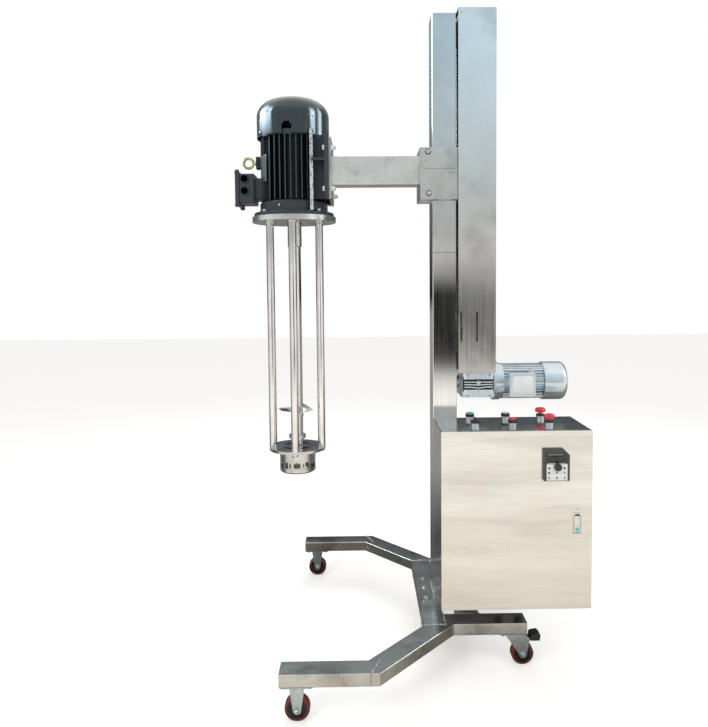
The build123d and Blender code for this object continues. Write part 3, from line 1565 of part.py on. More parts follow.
# Door lock: plate with a recess for its handle, body behind the door
lock_plate = 3
lock_body_depth = 12
lock_recess_width = 20
lock_recess_height = 62
lock_recess_depth = 9
lock_corner = 6
recess_corner = 2
pin_seat = 1.5
pin_reach_in = 1
pivot_rise = 23
pivot_set_out = 1
pivot_z = lock_z + pivot_rise
pivot_y = door_front_y - pivot_set_out
pivot_radius = 2
with BuildPart() as door_lock:
    with BuildSketch(facing(door_front_y)):
        with Locations((lock_x, lock_z)):
            RectangleRounded(lock_width, lock_height, lock_corner)
    extrude(amount=lock_plate)
    with BuildSketch(facing(door_front_y)):
        with Locations((lock_x, lock_z)):
            Rectangle(lock_body_width, lock_body_height)
    extrude(amount=-lock_body_depth)
    with BuildSketch(facing(door_front_y - lock_plate)):
        with Locations((lock_x, lock_z)):
            RectangleRounded(lock_recess_width, lock_recess_height, recess_corner)
    extrude(amount=-lock_recess_depth, mode=Mode.SUBTRACT)
    with BuildSketch(across(lock_x - lock_recess_width / 2 - pin_seat)):
        with Locations((pivot_y, pivot_z)):
            Circle(pivot_radius + slip)
    extrude(amount=lock_recess_width + 2 * pin_seat, mode=Mode.SUBTRACT)
door_lock.part.label = "door_lock"
export_step(door_lock.part, "parts/door_lock.step")

# Handle of the door lock: tilts out of its recess about a cross pin
handle_width = lock_recess_width - 1
handle_thickness = 3
handle_heel = 4
handle_reach = 28
handle_eye = 1
handle_top_z = pivot_z + handle_heel
handle_bottom_z = lock_z - handle_reach
with BuildPart() as lock_handle:
    with BuildSketch(across(lock_x - handle_width / 2)):
        with BuildLine():
            Polyline(
                (door_front_y - lock_plate, handle_bottom_z),
                (door_front_y - lock_plate, handle_top_z),
                (pivot_y + pivot_radius + handle_eye, handle_top_z),
                (pivot_y + pivot_radius + handle_eye, pivot_z - handle_heel),
                (door_front_y - lock_plate + handle_thickness, pivot_z - 2 * handle_heel),
                (door_front_y - lock_plate + handle_thickness, handle_bottom_z),
                close=True,
            )
        make_face()
    extrude(amount=handle_width)
    with BuildSketch(across(lock_x - lock_recess_width / 2 - pin_reach_in)):
        with Locations((pivot_y, pivot_z)):
            Circle(pivot_radius)
    extrude(amount=lock_recess_width + 2 * pin_reach_in)
lock_handle.part.label = "lock_handle"
export_step(lock_handle.part, "parts/lock_handle.step")

# Bases of the six controls: body under the panel, collar, bezel; a lens in the pilot lamp's
collar_radius = 14
collar_height = 12
bezel_radius = 15.5
bezel_height = 10
low_bezel_height = 6
control_body_radius = 10.8
control_body_depth = 34
pocket_radius = 12.4
pocket_depth = 6
stem_radius = 4
stem_bore_depth = 25
lens_rise = 4
lens_edge = 3
bezel_top_z = cabinet_top_z + collar_height + bezel_height
pocket_z = bezel_top_z - pocket_depth
rear_row, front_row = control_rows
start_x, middle_x, stop_x = (mast_x + column for column in control_columns)
with BuildPart() as control_bases:
    for radius, start_z, length in (
        (control_body_radius, cabinet_top_z, -control_body_depth),
        (collar_radius, cabinet_top_z, collar_height),
        (bezel_radius, cabinet_top_z + collar_height, low_bezel_height),
    ):
        with BuildSketch(level(start_z)):
            for control_x in (start_x, middle_x, stop_x):
                for control_y in control_rows:
                    with Locations((control_x, control_y)):
                        Circle(radius)
        extrude(amount=length)
    with BuildSketch(level(cabinet_top_z + collar_height)):
        for control_x in (start_x, middle_x):
            for control_y in control_rows:
                with Locations((control_x, control_y)):
                    Circle(bezel_radius)
    extrude(amount=bezel_height)
    with BuildSketch(level(bezel_top_z)):
        for control_x in (start_x, middle_x):
            for control_y in control_rows:
                with Locations((control_x, control_y)):
                    Circle(pocket_radius)
    extrude(amount=-pocket_depth, mode=Mode.SUBTRACT)
    with BuildSketch(level(bezel_top_z)):
        for control_x in (start_x, middle_x, stop_x):
            for control_y in control_rows:
                if (control_x, control_y) != (middle_x, rear_row):
                    with Locations((control_x, control_y)):
                        Circle(stem_radius + slip)
    extrude(amount=-(pocket_depth + stem_bore_depth), mode=Mode.SUBTRACT)
    with BuildSketch(level(pocket_z + slip)):
        with Locations((middle_x, rear_row)):
            Circle(pocket_radius - slip)
    extrude(amount=pocket_depth + lens_rise)
    fillet(control_bases.faces().sort_by(Axis.Z)[-1].edges(), lens_edge)
control_bases.part.label = "control_bases"
export_step(control_bases.part, "parts/control_bases.step")

# Push buttons: cap over the pocket and stem in the base's bore
button_travel = 4
button_cap_radius = 11.8
button_rise = 6
stop_rise = 8
button_edge = 1
button_floor_gap = 1
stem_bottom_z = pocket_z - stem_bore_depth + button_travel + button_floor_gap
cap_z = pocket_z + button_travel + part_gap
with BuildPart() as start_button:
    with BuildSketch(level(cap_z)):
        with Locations((start_x, rear_row)):
            Circle(button_cap_radius)
    extrude(amount=button_rise)
    chamfer(start_button.faces().sort_by(Axis.Z)[-1].edges(), button_edge)
    with BuildSketch(level(stem_bottom_z)):
        with Locations((start_x, rear_row)):
            Circle(stem_radius)
    extrude(amount=cap_z - stem_bottom_z)
start_button.part.label = "start_button"
export_step(start_button.part, "parts/start_button.step")

with BuildPart() as stop_button:
    with BuildSketch(level(cap_z)):
        with Locations((middle_x, front_row)):
            Circle(button_cap_radius)
    extrude(amount=stop_rise)
    chamfer(stop_button.faces().sort_by(Axis.Z)[-1].edges(), button_edge)
    with BuildSketch(level(stem_bottom_z)):
        with Locations((middle_x, front_row)):
            Circle(stem_radius)
    extrude(amount=cap_z - stem_bottom_z)
stop_button.part.label = "stop_button"
export_step(stop_button.part, "parts/stop_button.step")

# Selector: disc with a grip bar
selector_disc = 6
selector_bar_width = 8
selector_bar_rise = 9
selector_bar_length = 21.6
selector_z = pocket_z + part_gap
with BuildPart() as selector_knob:
    with BuildSketch(level(selector_z)):
        with Locations((start_x, front_row)):
            Circle(button_cap_radius)
    extrude(amount=selector_disc)
    with BuildSketch(level(selector_z + selector_disc)):
        with Locations((start_x, front_row)):
            SlotOverall(selector_bar_length, selector_bar_width, rotation=90)
    extrude(amount=selector_bar_rise)
    chamfer(selector_knob.faces().sort_by(Axis.Z)[-1].edges(), button_edge)
    with BuildSketch(level(stem_bottom_z)):
        with Locations((start_x, front_row)):
            Circle(stem_radius)
    extrude(amount=selector_z - stem_bottom_z)
selector_knob.part.label = "selector_knob"
export_step(selector_knob.part, "parts/selector_knob.step")

# Emergency stops: mushroom heads on stems
mushroom_radius = 18.5
mushroom_neck_radius = 11
mushroom_rise = 40
mushroom_height = 14
mushroom_top_edge = 7
mushroom_bottom_edge = 3
mushroom_top_z = cabinet_top_z + mushroom_rise
estop_travel = 5
estop_stem_z = pocket_z - stem_bore_depth + estop_travel + button_floor_gap
neck_bottom_z = cabinet_top_z + collar_height + low_bezel_height + estop_travel + part_gap
with BuildPart() as estop_front:
    with BuildSketch(level(mushroom_top_z - mushroom_height)):
        with Locations((stop_x, front_row)):
            Circle(mushroom_radius)
    extrude(amount=mushroom_height)
    fillet(estop_front.faces().sort_by(Axis.Z)[-1].edges(), mushroom_top_edge)
    fillet(estop_front.faces().sort_by(Axis.Z)[0].edges(), mushroom_bottom_edge)
    with BuildSketch(level(neck_bottom_z)):
        with Locations((stop_x, front_row)):
            Circle(mushroom_neck_radius)
    extrude(amount=mushroom_top_z - mushroom_height - neck_bottom_z)
    with BuildSketch(level(estop_stem_z)):
        with Locations((stop_x, front_row)):
            Circle(stem_radius)
    extrude(amount=neck_bottom_z - estop_stem_z)
estop_front.part.label = "estop_front"
export_step(estop_front.part, "parts/estop_front.step")

with BuildPart() as estop_rear:
    add(estop_front.part.moved(Location((0, rear_row - front_row, 0))))
estop_rear.part.label = "estop_rear"
export_step(estop_rear.part, "parts/estop_rear.step")

# Rigid casters: mounting plates, cheeks and axles
caster_plate_x = 100
caster_plate_y = 75
swivel_plate_x = 90
caster_plate_corner = 8
cheek_top_width = 48
cheek_axle_radius = 12
axle_head_radius = 8
axle_head = 5
plate_bottom_z = tube_bottom_z - caster_plate_thickness
cheek_inner = wheel_width / 2 + fork_gap
cheek_outer = cheek_inner + fork_sheet
rigid_x = mast_x - outrigger_reach + rigid_caster_inset
with BuildPart() as rigid_forks:
    with BuildSketch(level(plate_bottom_z)):
        with Locations((rigid_x, outrigger_y)):
            RectangleRounded(caster_plate_x, caster_plate_y, caster_plate_corner)
    extrude(amount=caster_plate_thickness)
    for side in (-1, 1):
        cheek_y = outrigger_y + side * (cheek_inner + fork_sheet / 2) + fork_sheet / 2
        with BuildSketch(facing(cheek_y)):
            with BuildLine():
                Polyline(
                    (rigid_x - cheek_top_width / 2, plate_bottom_z),
                    (rigid_x + cheek_top_width / 2, plate_bottom_z),
                    (rigid_x + cheek_axle_radius, wheel_radius),
                    (rigid_x - cheek_axle_radius, wheel_radius),
                    close=True,
                )
            make_face()
            with Locations((rigid_x, wheel_radius)):
                Circle(cheek_axle_radius)
        extrude(amount=fork_sheet)
    for start_y, radius, length in (
        (outrigger_y + cheek_outer, axle_radius, 2 * cheek_outer),
        (outrigger_y + cheek_outer, axle_head_radius, -axle_head),
        (outrigger_y - cheek_outer, axle_head_radius, axle_head),
    ):
        with BuildSketch(facing(start_y)):
            with Locations((rigid_x, wheel_radius)):
                Circle(radius)
        extrude(amount=length)
    mirror(about=Plane.XZ)
rigid_forks.part.label = "rigid_forks"
export_step(rigid_forks.part, "parts/rigid_forks.step")

# Swivel casters: top plates with raceways and kingpins
swivel_x = rear_leg_end_x - swivel_inset
swivel_wheel_x = swivel_x + swivel_trail
raceway_radius = 27
raceway_height = 4
kingpin_radius = 6
kingpin_nut_radius = 10
kingpin_nut_height = 6
web_top_z = plate_bottom_z - raceway_height - part_gap
web_thickness = 5
web_bottom_z = web_top_z - web_thickness
nut_top_z = web_bottom_z - part_gap
with BuildPart() as swivel_plates:
    with BuildSketch(level(plate_bottom_z)):
        with Locations((swivel_x, rear_leg_y)):
            RectangleRounded(swivel_plate_x, caster_plate_y, caster_plate_corner)
    extrude(amount=caster_plate_thickness)
    for radius, start_z, length in (
        (raceway_radius, plate_bottom_z, raceway_height),
        (kingpin_radius, plate_bottom_z, plate_bottom_z - nut_top_z),
        (kingpin_nut_radius, nut_top_z, kingpin_nut_height),
    ):
        with BuildSketch(level(start_z)):
            with Locations((swivel_x, rear_leg_y)):
                Circle(radius)
        extrude(amount=-length)
    mirror(about=Plane.XZ)
swivel_plates.part.label = "swivel_plates"
export_step(swivel_plates.part, "parts/swivel_plates.step")

# Swivel forks, near and far: web round the kingpin, raked cheeks, axle, pedal pin
web_left = 25
web_right = 30
pedal_offset = 52
web_left_x = swivel_x - web_left
web_right_x = swivel_x + web_right
pedal_pivot_x = swivel_x + pedal_offset
pedal_pivot_z = 92
pedal_pin_radius = 3
pedal_ear_radius = 7
ear_slope = 6
ear_drop = 2
for place, fork_y in (("near", -rear_leg_y), ("far", rear_leg_y)):
    with BuildPart() as swivel_fork:
        with BuildSketch(level(web_bottom_z)):
            with Locations((web_left_x, fork_y)):
                Rectangle(
                    web_right_x - web_left_x, 2 * cheek_outer, align=(Align.MIN, Align.CENTER)
                )
        extrude(amount=web_thickness)
        for side in (-1, 1):
            cheek_y = fork_y + side * (cheek_inner + fork_sheet / 2) + fork_sheet / 2
            with BuildSketch(facing(cheek_y)):
                with BuildLine():
                    Polyline(
                        (web_left_x, web_top_z),
                        (pedal_pivot_x - ear_slope, web_top_z - ear_drop),
                        (pedal_pivot_x + pedal_ear_radius, pedal_pivot_z),
                        (swivel_wheel_x + cheek_axle_radius, wheel_radius),
                        (swivel_wheel_x - cheek_axle_radius, wheel_radius),
                        close=True,
                    )
                make_face()
                with Locations((swivel_wheel_x, wheel_radius)):
                    Circle(cheek_axle_radius)
                with Locations((pedal_pivot_x, pedal_pivot_z)):
                    Circle(pedal_ear_radius)
            extrude(amount=fork_sheet)
            with BuildSketch(facing(fork_y + side * cheek_outer)):
                with Locations((swivel_wheel_x, wheel_radius)):
                    Circle(axle_head_radius)
            extrude(amount=-side * axle_head)
        with BuildSketch(facing(fork_y + cheek_outer)):
            with Locations((swivel_wheel_x, wheel_radius)):
                Circle(axle_radius)
            with Locations((pedal_pivot_x, pedal_pivot_z)):
                Circle(pedal_pin_radius)
        extrude(amount=2 * cheek_outer)
        with BuildSketch(level(web_bottom_z)):
            with Locations((swivel_x, fork_y)):
                Circle(kingpin_radius + slip)
        extrude(amount=web_thickness, mode=Mode.SUBTRACT)
    swivel_fork.part.label = f"swivel_fork_{place}"
    export_step(swivel_fork.part, f"parts/swivel_fork_{place}.step")

# Brake pedals, near and far: sleeve on the fork's pin, lever and foot block
pedal_sleeve_radius = 6
pedal_half_width = cheek_inner - 1
lever_reach = 94
lever_thickness = 4
block_gap = 3
block_bottom = -2
block_top = 18
lever_end_x = swivel_x + lever_reach
block_start_x = pedal_pivot_x + pedal_ear_radius + block_gap
block_half_width = 20
for place, pedal_y in (("near", -rear_leg_y), ("far", rear_leg_y)):
    with BuildPart() as brake_pedal:
        with BuildSketch(facing(pedal_y + pedal_half_width)):
            with Locations((pedal_pivot_x, pedal_pivot_z)):
                Circle(pedal_sleeve_radius)
            with Locations((pedal_pivot_x, pedal_pivot_z - pedal_sleeve_radius)):
                Rectangle(
                    lever_end_x - pedal_pivot_x, lever_thickness, align=(Align.MIN, Align.MIN)
                )
        extrude(amount=2 * pedal_half_width)
        with BuildSketch(facing(pedal_y + block_half_width)):
            with BuildLine():
                Polyline(
                    (block_start_x, pedal_pivot_z + block_bottom),
                    (lever_end_x, pedal_pivot_z + block_bottom),
                    (lever_end_x + 2, pedal_pivot_z + block_top * 2 / 3),
                    (lever_end_x - 6, pedal_pivot_z + block_top),
                    (block_start_x + 4, pedal_pivot_z + block_top - 4),
                    (block_start_x, pedal_pivot_z + block_top - 10),
                    close=True,
                )
            make_face()
        extrude(amount=2 * block_half_width)
        with BuildSketch(facing(pedal_y + pedal_half_width)):
            with Locations((pedal_pivot_x, pedal_pivot_z)):
                Circle(pedal_pin_radius + slip)
        extrude(amount=2 * pedal_half_width, mode=Mode.SUBTRACT)
    brake_pedal.part.label = f"brake_pedal_{place}"
    export_step(brake_pedal.part, f"parts/brake_pedal_{place}.step")

# Wheels: core with a hub and a tread round it
core_radius = 30
core_rim = 5
core_dish = 4
tread_edge = 5
wheel_hub_radius = 11
hub_gap = 0.5
hub_half_width = cheek_inner - hub_gap
for place, wheel_x, wheel_y in (
    ("front_near", rigid_x, -outrigger_y),
    ("front_far", rigid_x, outrigger_y),
    ("rear_near", swivel_wheel_x, -rear_leg_y),
    ("rear_far", swivel_wheel_x, rear_leg_y),
):
    with BuildPart() as wheel:
        with BuildSketch(facing(wheel_y + wheel_width / 2)):
            with Locations((wheel_x, wheel_radius)):
                Circle(wheel_radius)
        extrude(amount=wheel_width)
        fillet(wheel.edges(), tread_edge)
        with BuildSketch(facing(wheel_y + wheel_width / 2)):
            with Locations((wheel_x, wheel_radius)):
                Circle(core_radius)
        extrude(amount=wheel_width, mode=Mode.SUBTRACT)
        with BuildSketch(facing(wheel_y + wheel_width / 2 - core_dish)):
            with Locations((wheel_x, wheel_radius)):
                Circle(core_radius - slip)
        extrude(amount=wheel_width - 2 * core_dish)
        with BuildSketch(facing(wheel_y + wheel_width / 2)):
            with Locations((wheel_x, wheel_radius)):
                Circle(core_radius - slip)
                Circle(core_radius - core_rim, mode=Mode.SUBTRACT)
        extrude(amount=wheel_width)
        with BuildSketch(facing(wheel_y + hub_half_width)):
            with Locations((wheel_x, wheel_radius)):
                Circle(wheel_hub_radius)
        extrude(amount=2 * hub_half_width)
        with BuildSketch(facing(wheel_y + hub_half_width)):
            with Locations((wheel_x, wheel_radius)):
                Circle(axle_radius + slip)
        extrude(amount=2 * hub_half_width, mode=Mode.SUBTRACT)
    wheel.part.label = f"wheel_{place}"
    export_step(wheel.part, f"parts/wheel_{place}.step")
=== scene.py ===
import bpy
import bmesh
import random
from math import pi, sin, cos, radians, sqrt
from mathutils import Vector, Matrix


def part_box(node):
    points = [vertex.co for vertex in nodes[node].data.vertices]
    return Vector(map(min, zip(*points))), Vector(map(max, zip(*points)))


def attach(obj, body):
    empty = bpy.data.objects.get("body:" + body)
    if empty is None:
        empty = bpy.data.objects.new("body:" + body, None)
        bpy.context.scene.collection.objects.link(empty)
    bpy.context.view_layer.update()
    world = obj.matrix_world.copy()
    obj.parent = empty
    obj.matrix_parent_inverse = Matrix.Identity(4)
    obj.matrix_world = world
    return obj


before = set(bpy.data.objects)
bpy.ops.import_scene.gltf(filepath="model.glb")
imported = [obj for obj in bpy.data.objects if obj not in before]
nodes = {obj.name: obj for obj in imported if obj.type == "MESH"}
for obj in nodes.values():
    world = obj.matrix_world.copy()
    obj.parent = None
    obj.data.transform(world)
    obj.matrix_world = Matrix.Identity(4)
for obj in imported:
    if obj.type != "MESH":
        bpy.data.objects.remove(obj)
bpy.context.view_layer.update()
scene = bpy.context.scene
print("frame loaded")


# Small tools for node trees

def addNode(tree, kind, inputs=None, **settings):
    made = tree.nodes.new(kind)
    for key, value in settings.items():
        setattr(made, key, value)
    for key, value in (inputs or {}).items():
        plug(tree, made.inputs[key], value)
    return made


def plug(tree, socket, value):
    if isinstance(value, bpy.types.NodeSocket):
        tree.links.new(value, socket)
    else:
        socket.default_value = value


def emptyTree(owner):
    owner.use_nodes = True
    owner.node_tree.nodes.clear()
    return owner.node_tree


def newObject(name, data):
    made = bpy.data.objects.new(name, data)
    scene.collection.objects.link(made)
    return made


def startMaterial(name):
    material = bpy.data.materials.new(name)
    tree = emptyTree(material)
    coords = addNode(tree, "ShaderNodeTexCoord").outputs["Object"]
    return material, tree, coords


def moved(tree, coords, place, stretch=(1, 1, 1)):
    mapped = addNode(tree, "ShaderNodeMapping", {"Vector": coords, "Scale": stretch})
    shift = mapped.inputs["Location"]
    shift.default_value = [-place[i] * stretch[i] for i in range(3)]
    return mapped.outputs["Vector"]


def noise(tree, coords, scale, detail=4.0, rough=0.55, place=(0, 0, 0), stretch=(1, 1, 1)):
    made = addNode(tree, "ShaderNodeTexNoise", {
        "Vector": moved(tree, coords, place, stretch), "Scale": scale, "Detail": detail, "Roughness": rough,
    })
    return made.outputs["Fac"]


def ramp(tree, value, low, high, start=0.0, end=1.0):
    made = addNode(tree, "ShaderNodeMapRange", {
        "Value": value, "From Min": low, "From Max": high, "To Min": start, "To Max": end,
    })
    return made.outputs["Result"]


def fade(tree, value, low, high):
    # whole up to the low value, nothing from the high one
    return ramp(tree, value, low, high, 1.0, 0.0)


def mixColour(tree, factor, first, second, blend="MIX"):
    made = addNode(tree, "ShaderNodeMix", data_type="RGBA", blend_type=blend)
    for index, value in ((0, factor), (6, first), (7, second)):
        plug(tree, made.inputs[index], value)
    return made.outputs[2]


def maths(tree, operation, first, second=0.0):
    made = addNode(tree, "ShaderNodeMath", operation=operation)
    plug(tree, made.inputs[0], first)
    plug(tree, made.inputs[1], second)
    return made.outputs[0]


def times(tree, first, second):
    return maths(tree, "MULTIPLY", first, second)


def plus(tree, first, second):
    return maths(tree, "ADD", first, second)


def between(tree, value, rise, fall):
    return times(tree, ramp(tree, value, *rise), fade(tree, value, *fall))


def fromMiddle(tree, value, middle):
    return maths(tree, "ABSOLUTE", maths(tree, "SUBTRACT", value, middle))


def shade(tree, value, low, high, first, second):
    # the first colour where the value is low, the second where it is high
    return mixColour(tree, ramp(tree, value, low, high), first, second)


def axisParts(tree, coords):
    return addNode(tree, "ShaderNodeSeparateXYZ", {"Vector": coords}).outputs


def fromAxis(tree, coords, place, along):
    parts = axisParts(tree, moved(tree, coords, place))
    pair = [parts[key] for key in "XYZ" if key != along]
    squares = [maths(tree, "POWER", maths(tree, "ABSOLUTE", item), 2.0) for item in pair]
    return maths(tree, "SQRT", plus(tree, squares[0], squares[1]))


def hairlines(tree, coords, scale, width):
    # thin wandering scratches: where a slow noise crosses its middle
    slow = noise(tree, coords, scale, 1.0, 0.4)
    line = fade(tree, fromMiddle(tree, slow, 0.5), 0.0, width)
    patch = ramp(tree, noise(tree, coords, scale * 1.7, 2.0, 0.5, (4.1, 2.3, 7.7)), 0.52, 0.6)
    return times(tree, line, patch)


def finishMaterial(material, tree, colour, roughness, height, bump, distance, metal=None, **fixed):
    # the keywords are constants on the shader's own sockets
    shader = addNode(tree, "ShaderNodeBsdfPrincipled", {"Base Color": colour, "Roughness": roughness})
    if metal is not None:
        plug(tree, shader.inputs["Metallic"], metal)
    for key, value in fixed.items():
        shader.inputs[key.replace("_", " ")].default_value = value
    relief = addNode(tree, "ShaderNodeBump", {"Height": height, "Strength": bump, "Distance": distance})
    plug(tree, shader.inputs["Normal"], relief.outputs["Normal"])
    addNode(tree, "ShaderNodeOutputMaterial", {"Surface": shader.outputs["BSDF"]})
    return material


def rgb(red, green, blue):
    return (red, green, blue, 1.0)


# Finishes shared by several pieces

def stained(tree, coords, colour, tone, scale, place, start, amount, soft=0.12, stretch=(1, 1, 1)):
    patch = noise(tree, coords, scale, 4.0, 0.6, place, stretch)
    return mixColour(tree, ramp(tree, patch, start, start + soft, 0.0, amount), colour, tone)


def sheetSteel(name, look):
    # each stain: colour, scale, place, from, amount, softness, stretch
    material, tree, coords = startMaterial(name)
    grain = noise(tree, coords, 1.0, 6.0, 0.62, stretch=look["grain"])
    clouds = noise(tree, coords, look["clouds"], 5.0, stretch=look.get("cloudStretch", (1, 1, 1)))
    colour = shade(tree, clouds, 0.34, 0.66, look["dark"], look["light"])
    for item in look["stains"]:
        colour = stained(tree, coords, colour, *item)
    worn = ramp(tree, grain, 0.35, 0.7, 0.0, look["streaks"])
    colour = mixColour(tree, worn, colour, look["dark"])
    lines = hairlines(tree, coords, look.get("scratchScale", 3.0), look.get("scratchWidth", 0.004))
    colour = mixColour(tree, times(tree, lines, look["scratches"]), colour, look["scratch"])
    smooth = plus(tree, times(tree, grain, 0.55), times(tree, clouds, 0.45))
    roughness = ramp(tree, smooth, 0.35, 0.65, *look["rough"])
    relief = plus(tree, grain, times(tree, lines, -0.6))  # scratches cut in
    waves = noise(tree, coords, look["dentScale"], 1.0, 0.4, (2.2, 5.1, 1.3))
    relief = plus(tree, times(tree, relief, 0.12), times(tree, waves, look["dents"]))
    bump = look.get("bump", 0.25)
    return finishMaterial(material, tree, colour, roughness, relief, bump, 0.0012, Metallic=1.0)


def turnedSteel(name, light, dark, grain, rough, clouds=14.0):
    material, tree, coords = startMaterial(name)
    lines = noise(tree, coords, 1.0, 5.0, 0.6, stretch=grain)
    cloud = noise(tree, coords, clouds, 4.0, 0.6)
    colour = shade(tree, cloud, 0.35, 0.65, dark, light)
    colour = mixColour(tree, ramp(tree, lines, 0.3, 0.7, 0.0, 0.2), colour, dark)
    both = plus(tree, times(tree, lines, 0.6), times(tree, cloud, 0.4))
    roughness = ramp(tree, both, 0.3, 0.7, *rough)
    return finishMaterial(material, tree, colour, roughness, lines, 0.08, 0.0003, Metallic=1.0)


def castEnamel(name, look):
    material, tree, coords = startMaterial(name)
    peel = noise(tree, coords, 420.0, 3.0, 0.5)
    lumps = noise(tree, coords, 60.0, 3.0, 0.5)
    clouds = noise(tree, coords, look.get("clouds", 9.0), 5.0, 0.65)
    colour = shade(tree, clouds, 0.35, 0.7, look["base"], look["worn"])
    chips = ramp(tree, noise(tree, coords, 130.0, 3.0, 0.7, (1.3, 0.2, 4.4)), 0.66, 0.7)
    colour = mixColour(tree, times(tree, chips, look["chips"]), colour, look["dust"])
    for centre, along, low, high, amount in look.get("tips", ()):
        rim = ramp(tree, fromAxis(tree, coords, centre, along), low, high, 0.0, amount)
        colour = mixColour(tree, rim, colour, look["dust"])
    both = plus(tree, times(tree, clouds, 0.6), times(tree, peel, 0.4))
    roughness = ramp(tree, both, 0.3, 0.7, *look["rough"])
    relief = plus(tree, times(tree, peel, 0.5), lumps)
    return finishMaterial(
        material, tree, colour, roughness, relief, look["bump"], 0.0007,
        Metallic=look.get("metal", 0.0), Coat_Weight=look["coat"], Coat_Roughness=0.07,
        Specular_IOR_Level=look.get("sheen", 0.5),
    )


def mouldedPlastic(name, base, worn, rough=(0.3, 0.45), bump=0.08, coat=0.0):
    material, tree, coords = startMaterial(name)
    grain = noise(tree, coords, 900.0, 2.0, 0.5)
    clouds = noise(tree, coords, 30.0, 4.0, 0.6)
    colour = shade(tree, clouds, 0.3, 0.75, base, worn)
    roughness = ramp(tree, clouds, 0.3, 0.7, *rough)
    return finishMaterial(material, tree, colour, roughness, grain, bump, 0.0003, Coat_Weight=coat)


def plated(name, light, dark, tint):
    material, tree, coords = startMaterial(name)
    spangle = addNode(tree, "ShaderNodeTexVoronoi", {"Vector": coords, "Scale": 160.0}, feature="F1")
    grey = addNode(tree, "ShaderNodeRGBToBW", {"Color": spangle.outputs["Color"]}).outputs[0]
    clouds = noise(tree, coords, 22.0, 4.0, 0.6)
    colour = mixColour(tree, ramp(tree, grey, 0.2, 0.8, 0.0, 0.5), light, dark)
    colour = mixColour(tree, ramp(tree, clouds, 0.5, 0.7, 0.0, 0.6), colour, tint)
    roughness = ramp(tree, clouds, 0.3, 0.7, 0.25, 0.42)
    return finishMaterial(material, tree, colour, roughness, grey, 0.05, 0.0003, Metallic=1.0)


materials = {}
finishOf = {}  # node to material

# Small tools for shapes; every shape is drawn in metres where it belongs

axesOf = {
    "front": ((1, 0, 0), (0, 0, 1), (0, -1, 0)),
    "back": ((-1, 0, 0), (0, 0, 1), (0, 1, 0)),
    "right": ((0, 1, 0), (0, 0, 1), (1, 0, 0)),
    "left": ((0, -1, 0), (0, 0, 1), (-1, 0, 0)),
    "up": ((1, 0, 0), (0, 1, 0), (0, 0, 1)),
    "down": ((1, 0, 0), (0, -1, 0), (0, 0, -1)),
}


def seat(side, place, spin=0.0):
    turn = Matrix(axesOf[side]).transposed().to_4x4()
    return Matrix.Translation(place) @ turn @ Matrix.Rotation(radians(spin), 4, "Z")


def around(centre, radius, bearing, height, spin=0.0):
    # a seat on the outside of an upright drum; bearing 0 looks to the front, 90 to the right
    out = Vector((sin(radians(bearing)), -cos(radians(bearing)), 0))
    side = Vector((cos(radians(bearing)), sin(radians(bearing)), 0))
    turn = Matrix((side, Vector((0, 0, 1)), out)).transposed().to_4x4()
    place = Vector((centre[0], centre[1], height)) + out * radius
    return Matrix.Translation(place) @ turn @ Matrix.Rotation(radians(spin), 4, "Z")


def roundOutline(width, height, radius, steps=5, centre=(0, 0)):
    points = []
    for across, up, start in ((1, 1, 0), (-1, 1, 90), (-1, -1, 180), (1, -1, 270)):
        for step in range(steps + 1):
            angle = radians(start + 90 * step / steps)
            points.append((
                centre[0] + across * (width / 2 - radius) + radius * cos(angle),
                centre[1] + up * (height / 2 - radius) + radius * sin(angle),
            ))
    return points


def circleOutline(radius, steps):
    turns = [2 * pi * step / steps for step in range(steps)]
    return [(radius * cos(turn), radius * sin(turn)) for turn in turns]


def bridge(shape, low, high):
    # side walls between two closed rings of points
    for step in range(len(low)):
        after = (step + 1) % len(low)
        shape.faces.new((low[step], low[after], high[after], high[step]))


def lofted(shape, layers, place, caps=True):
    rings = []
    for outline, height in layers:
        rings.append([shape.verts.new(place @ Vector((u, v, height))) for u, v in outline])
    for low, high in zip(rings, rings[1:]):
        bridge(shape, low, high)
    if caps:
        shape.faces.new(rings[0][::-1])
        shape.faces.new(rings[-1])


def slab(shape, width, height, radius, low, high, ease, place):
    lofted(shape, (
        (roundOutline(width, height, radius), low),
        (roundOutline(width, height, radius), high - ease),
        (roundOutline(width - 0.6 * ease, height - 0.6 * ease, radius), high - 0.3 * ease),
        (roundOutline(width - 2 * ease, height - 2 * ease, max(radius - ease, 0.0001)), high),
    ), place)


def turned(shape, profile, place, steps):
    rings = []
    for radius, height in profile:
        outline = circleOutline(radius, steps) if radius > 0.00001 else [(0, 0)]
        rings.append([shape.verts.new(place @ Vector((u, v, height))) for u, v in outline])
    for low, high in zip(rings, rings[1:]):
        if len(low) == len(high) == steps:
            bridge(shape, low, high)
            continue
        for step in range(steps):
            after = (step + 1) % steps
            if len(high) == steps:
                shape.faces.new((low[0], high[after], high[step]))
            elif len(low) == steps:
                shape.faces.new((low[step], low[after], high[0]))


def thinDisc(radius):
    # profile of a dark disc, painted shade that stands for a hole
    return (0, -0.0001), (radius, -0.0001), (radius, 0.00012), (0, 0.00012)


def darkLine(shape, points, thick, place):
    # a scratch or a seam: a thin strip along the points
    outline = [(u, v - thick) for u, v in points] + [(u, v + thick) for u, v in points[::-1]]
    lofted(shape, ((outline, -0.0001), (outline, 0.00008)), place)


def gridFaces(shape, grid):
    for low, high in zip(grid, grid[1:]):
        for column in range(len(low) - 1):
            shape.faces.new((low[column], low[column + 1], high[column + 1], high[column]))


def rimOf(grid):
    left, right = [line[0] for line in grid[-2:0:-1]], [line[-1] for line in grid[1:-1]]
    return grid[0] + right + grid[-1][::-1] + left


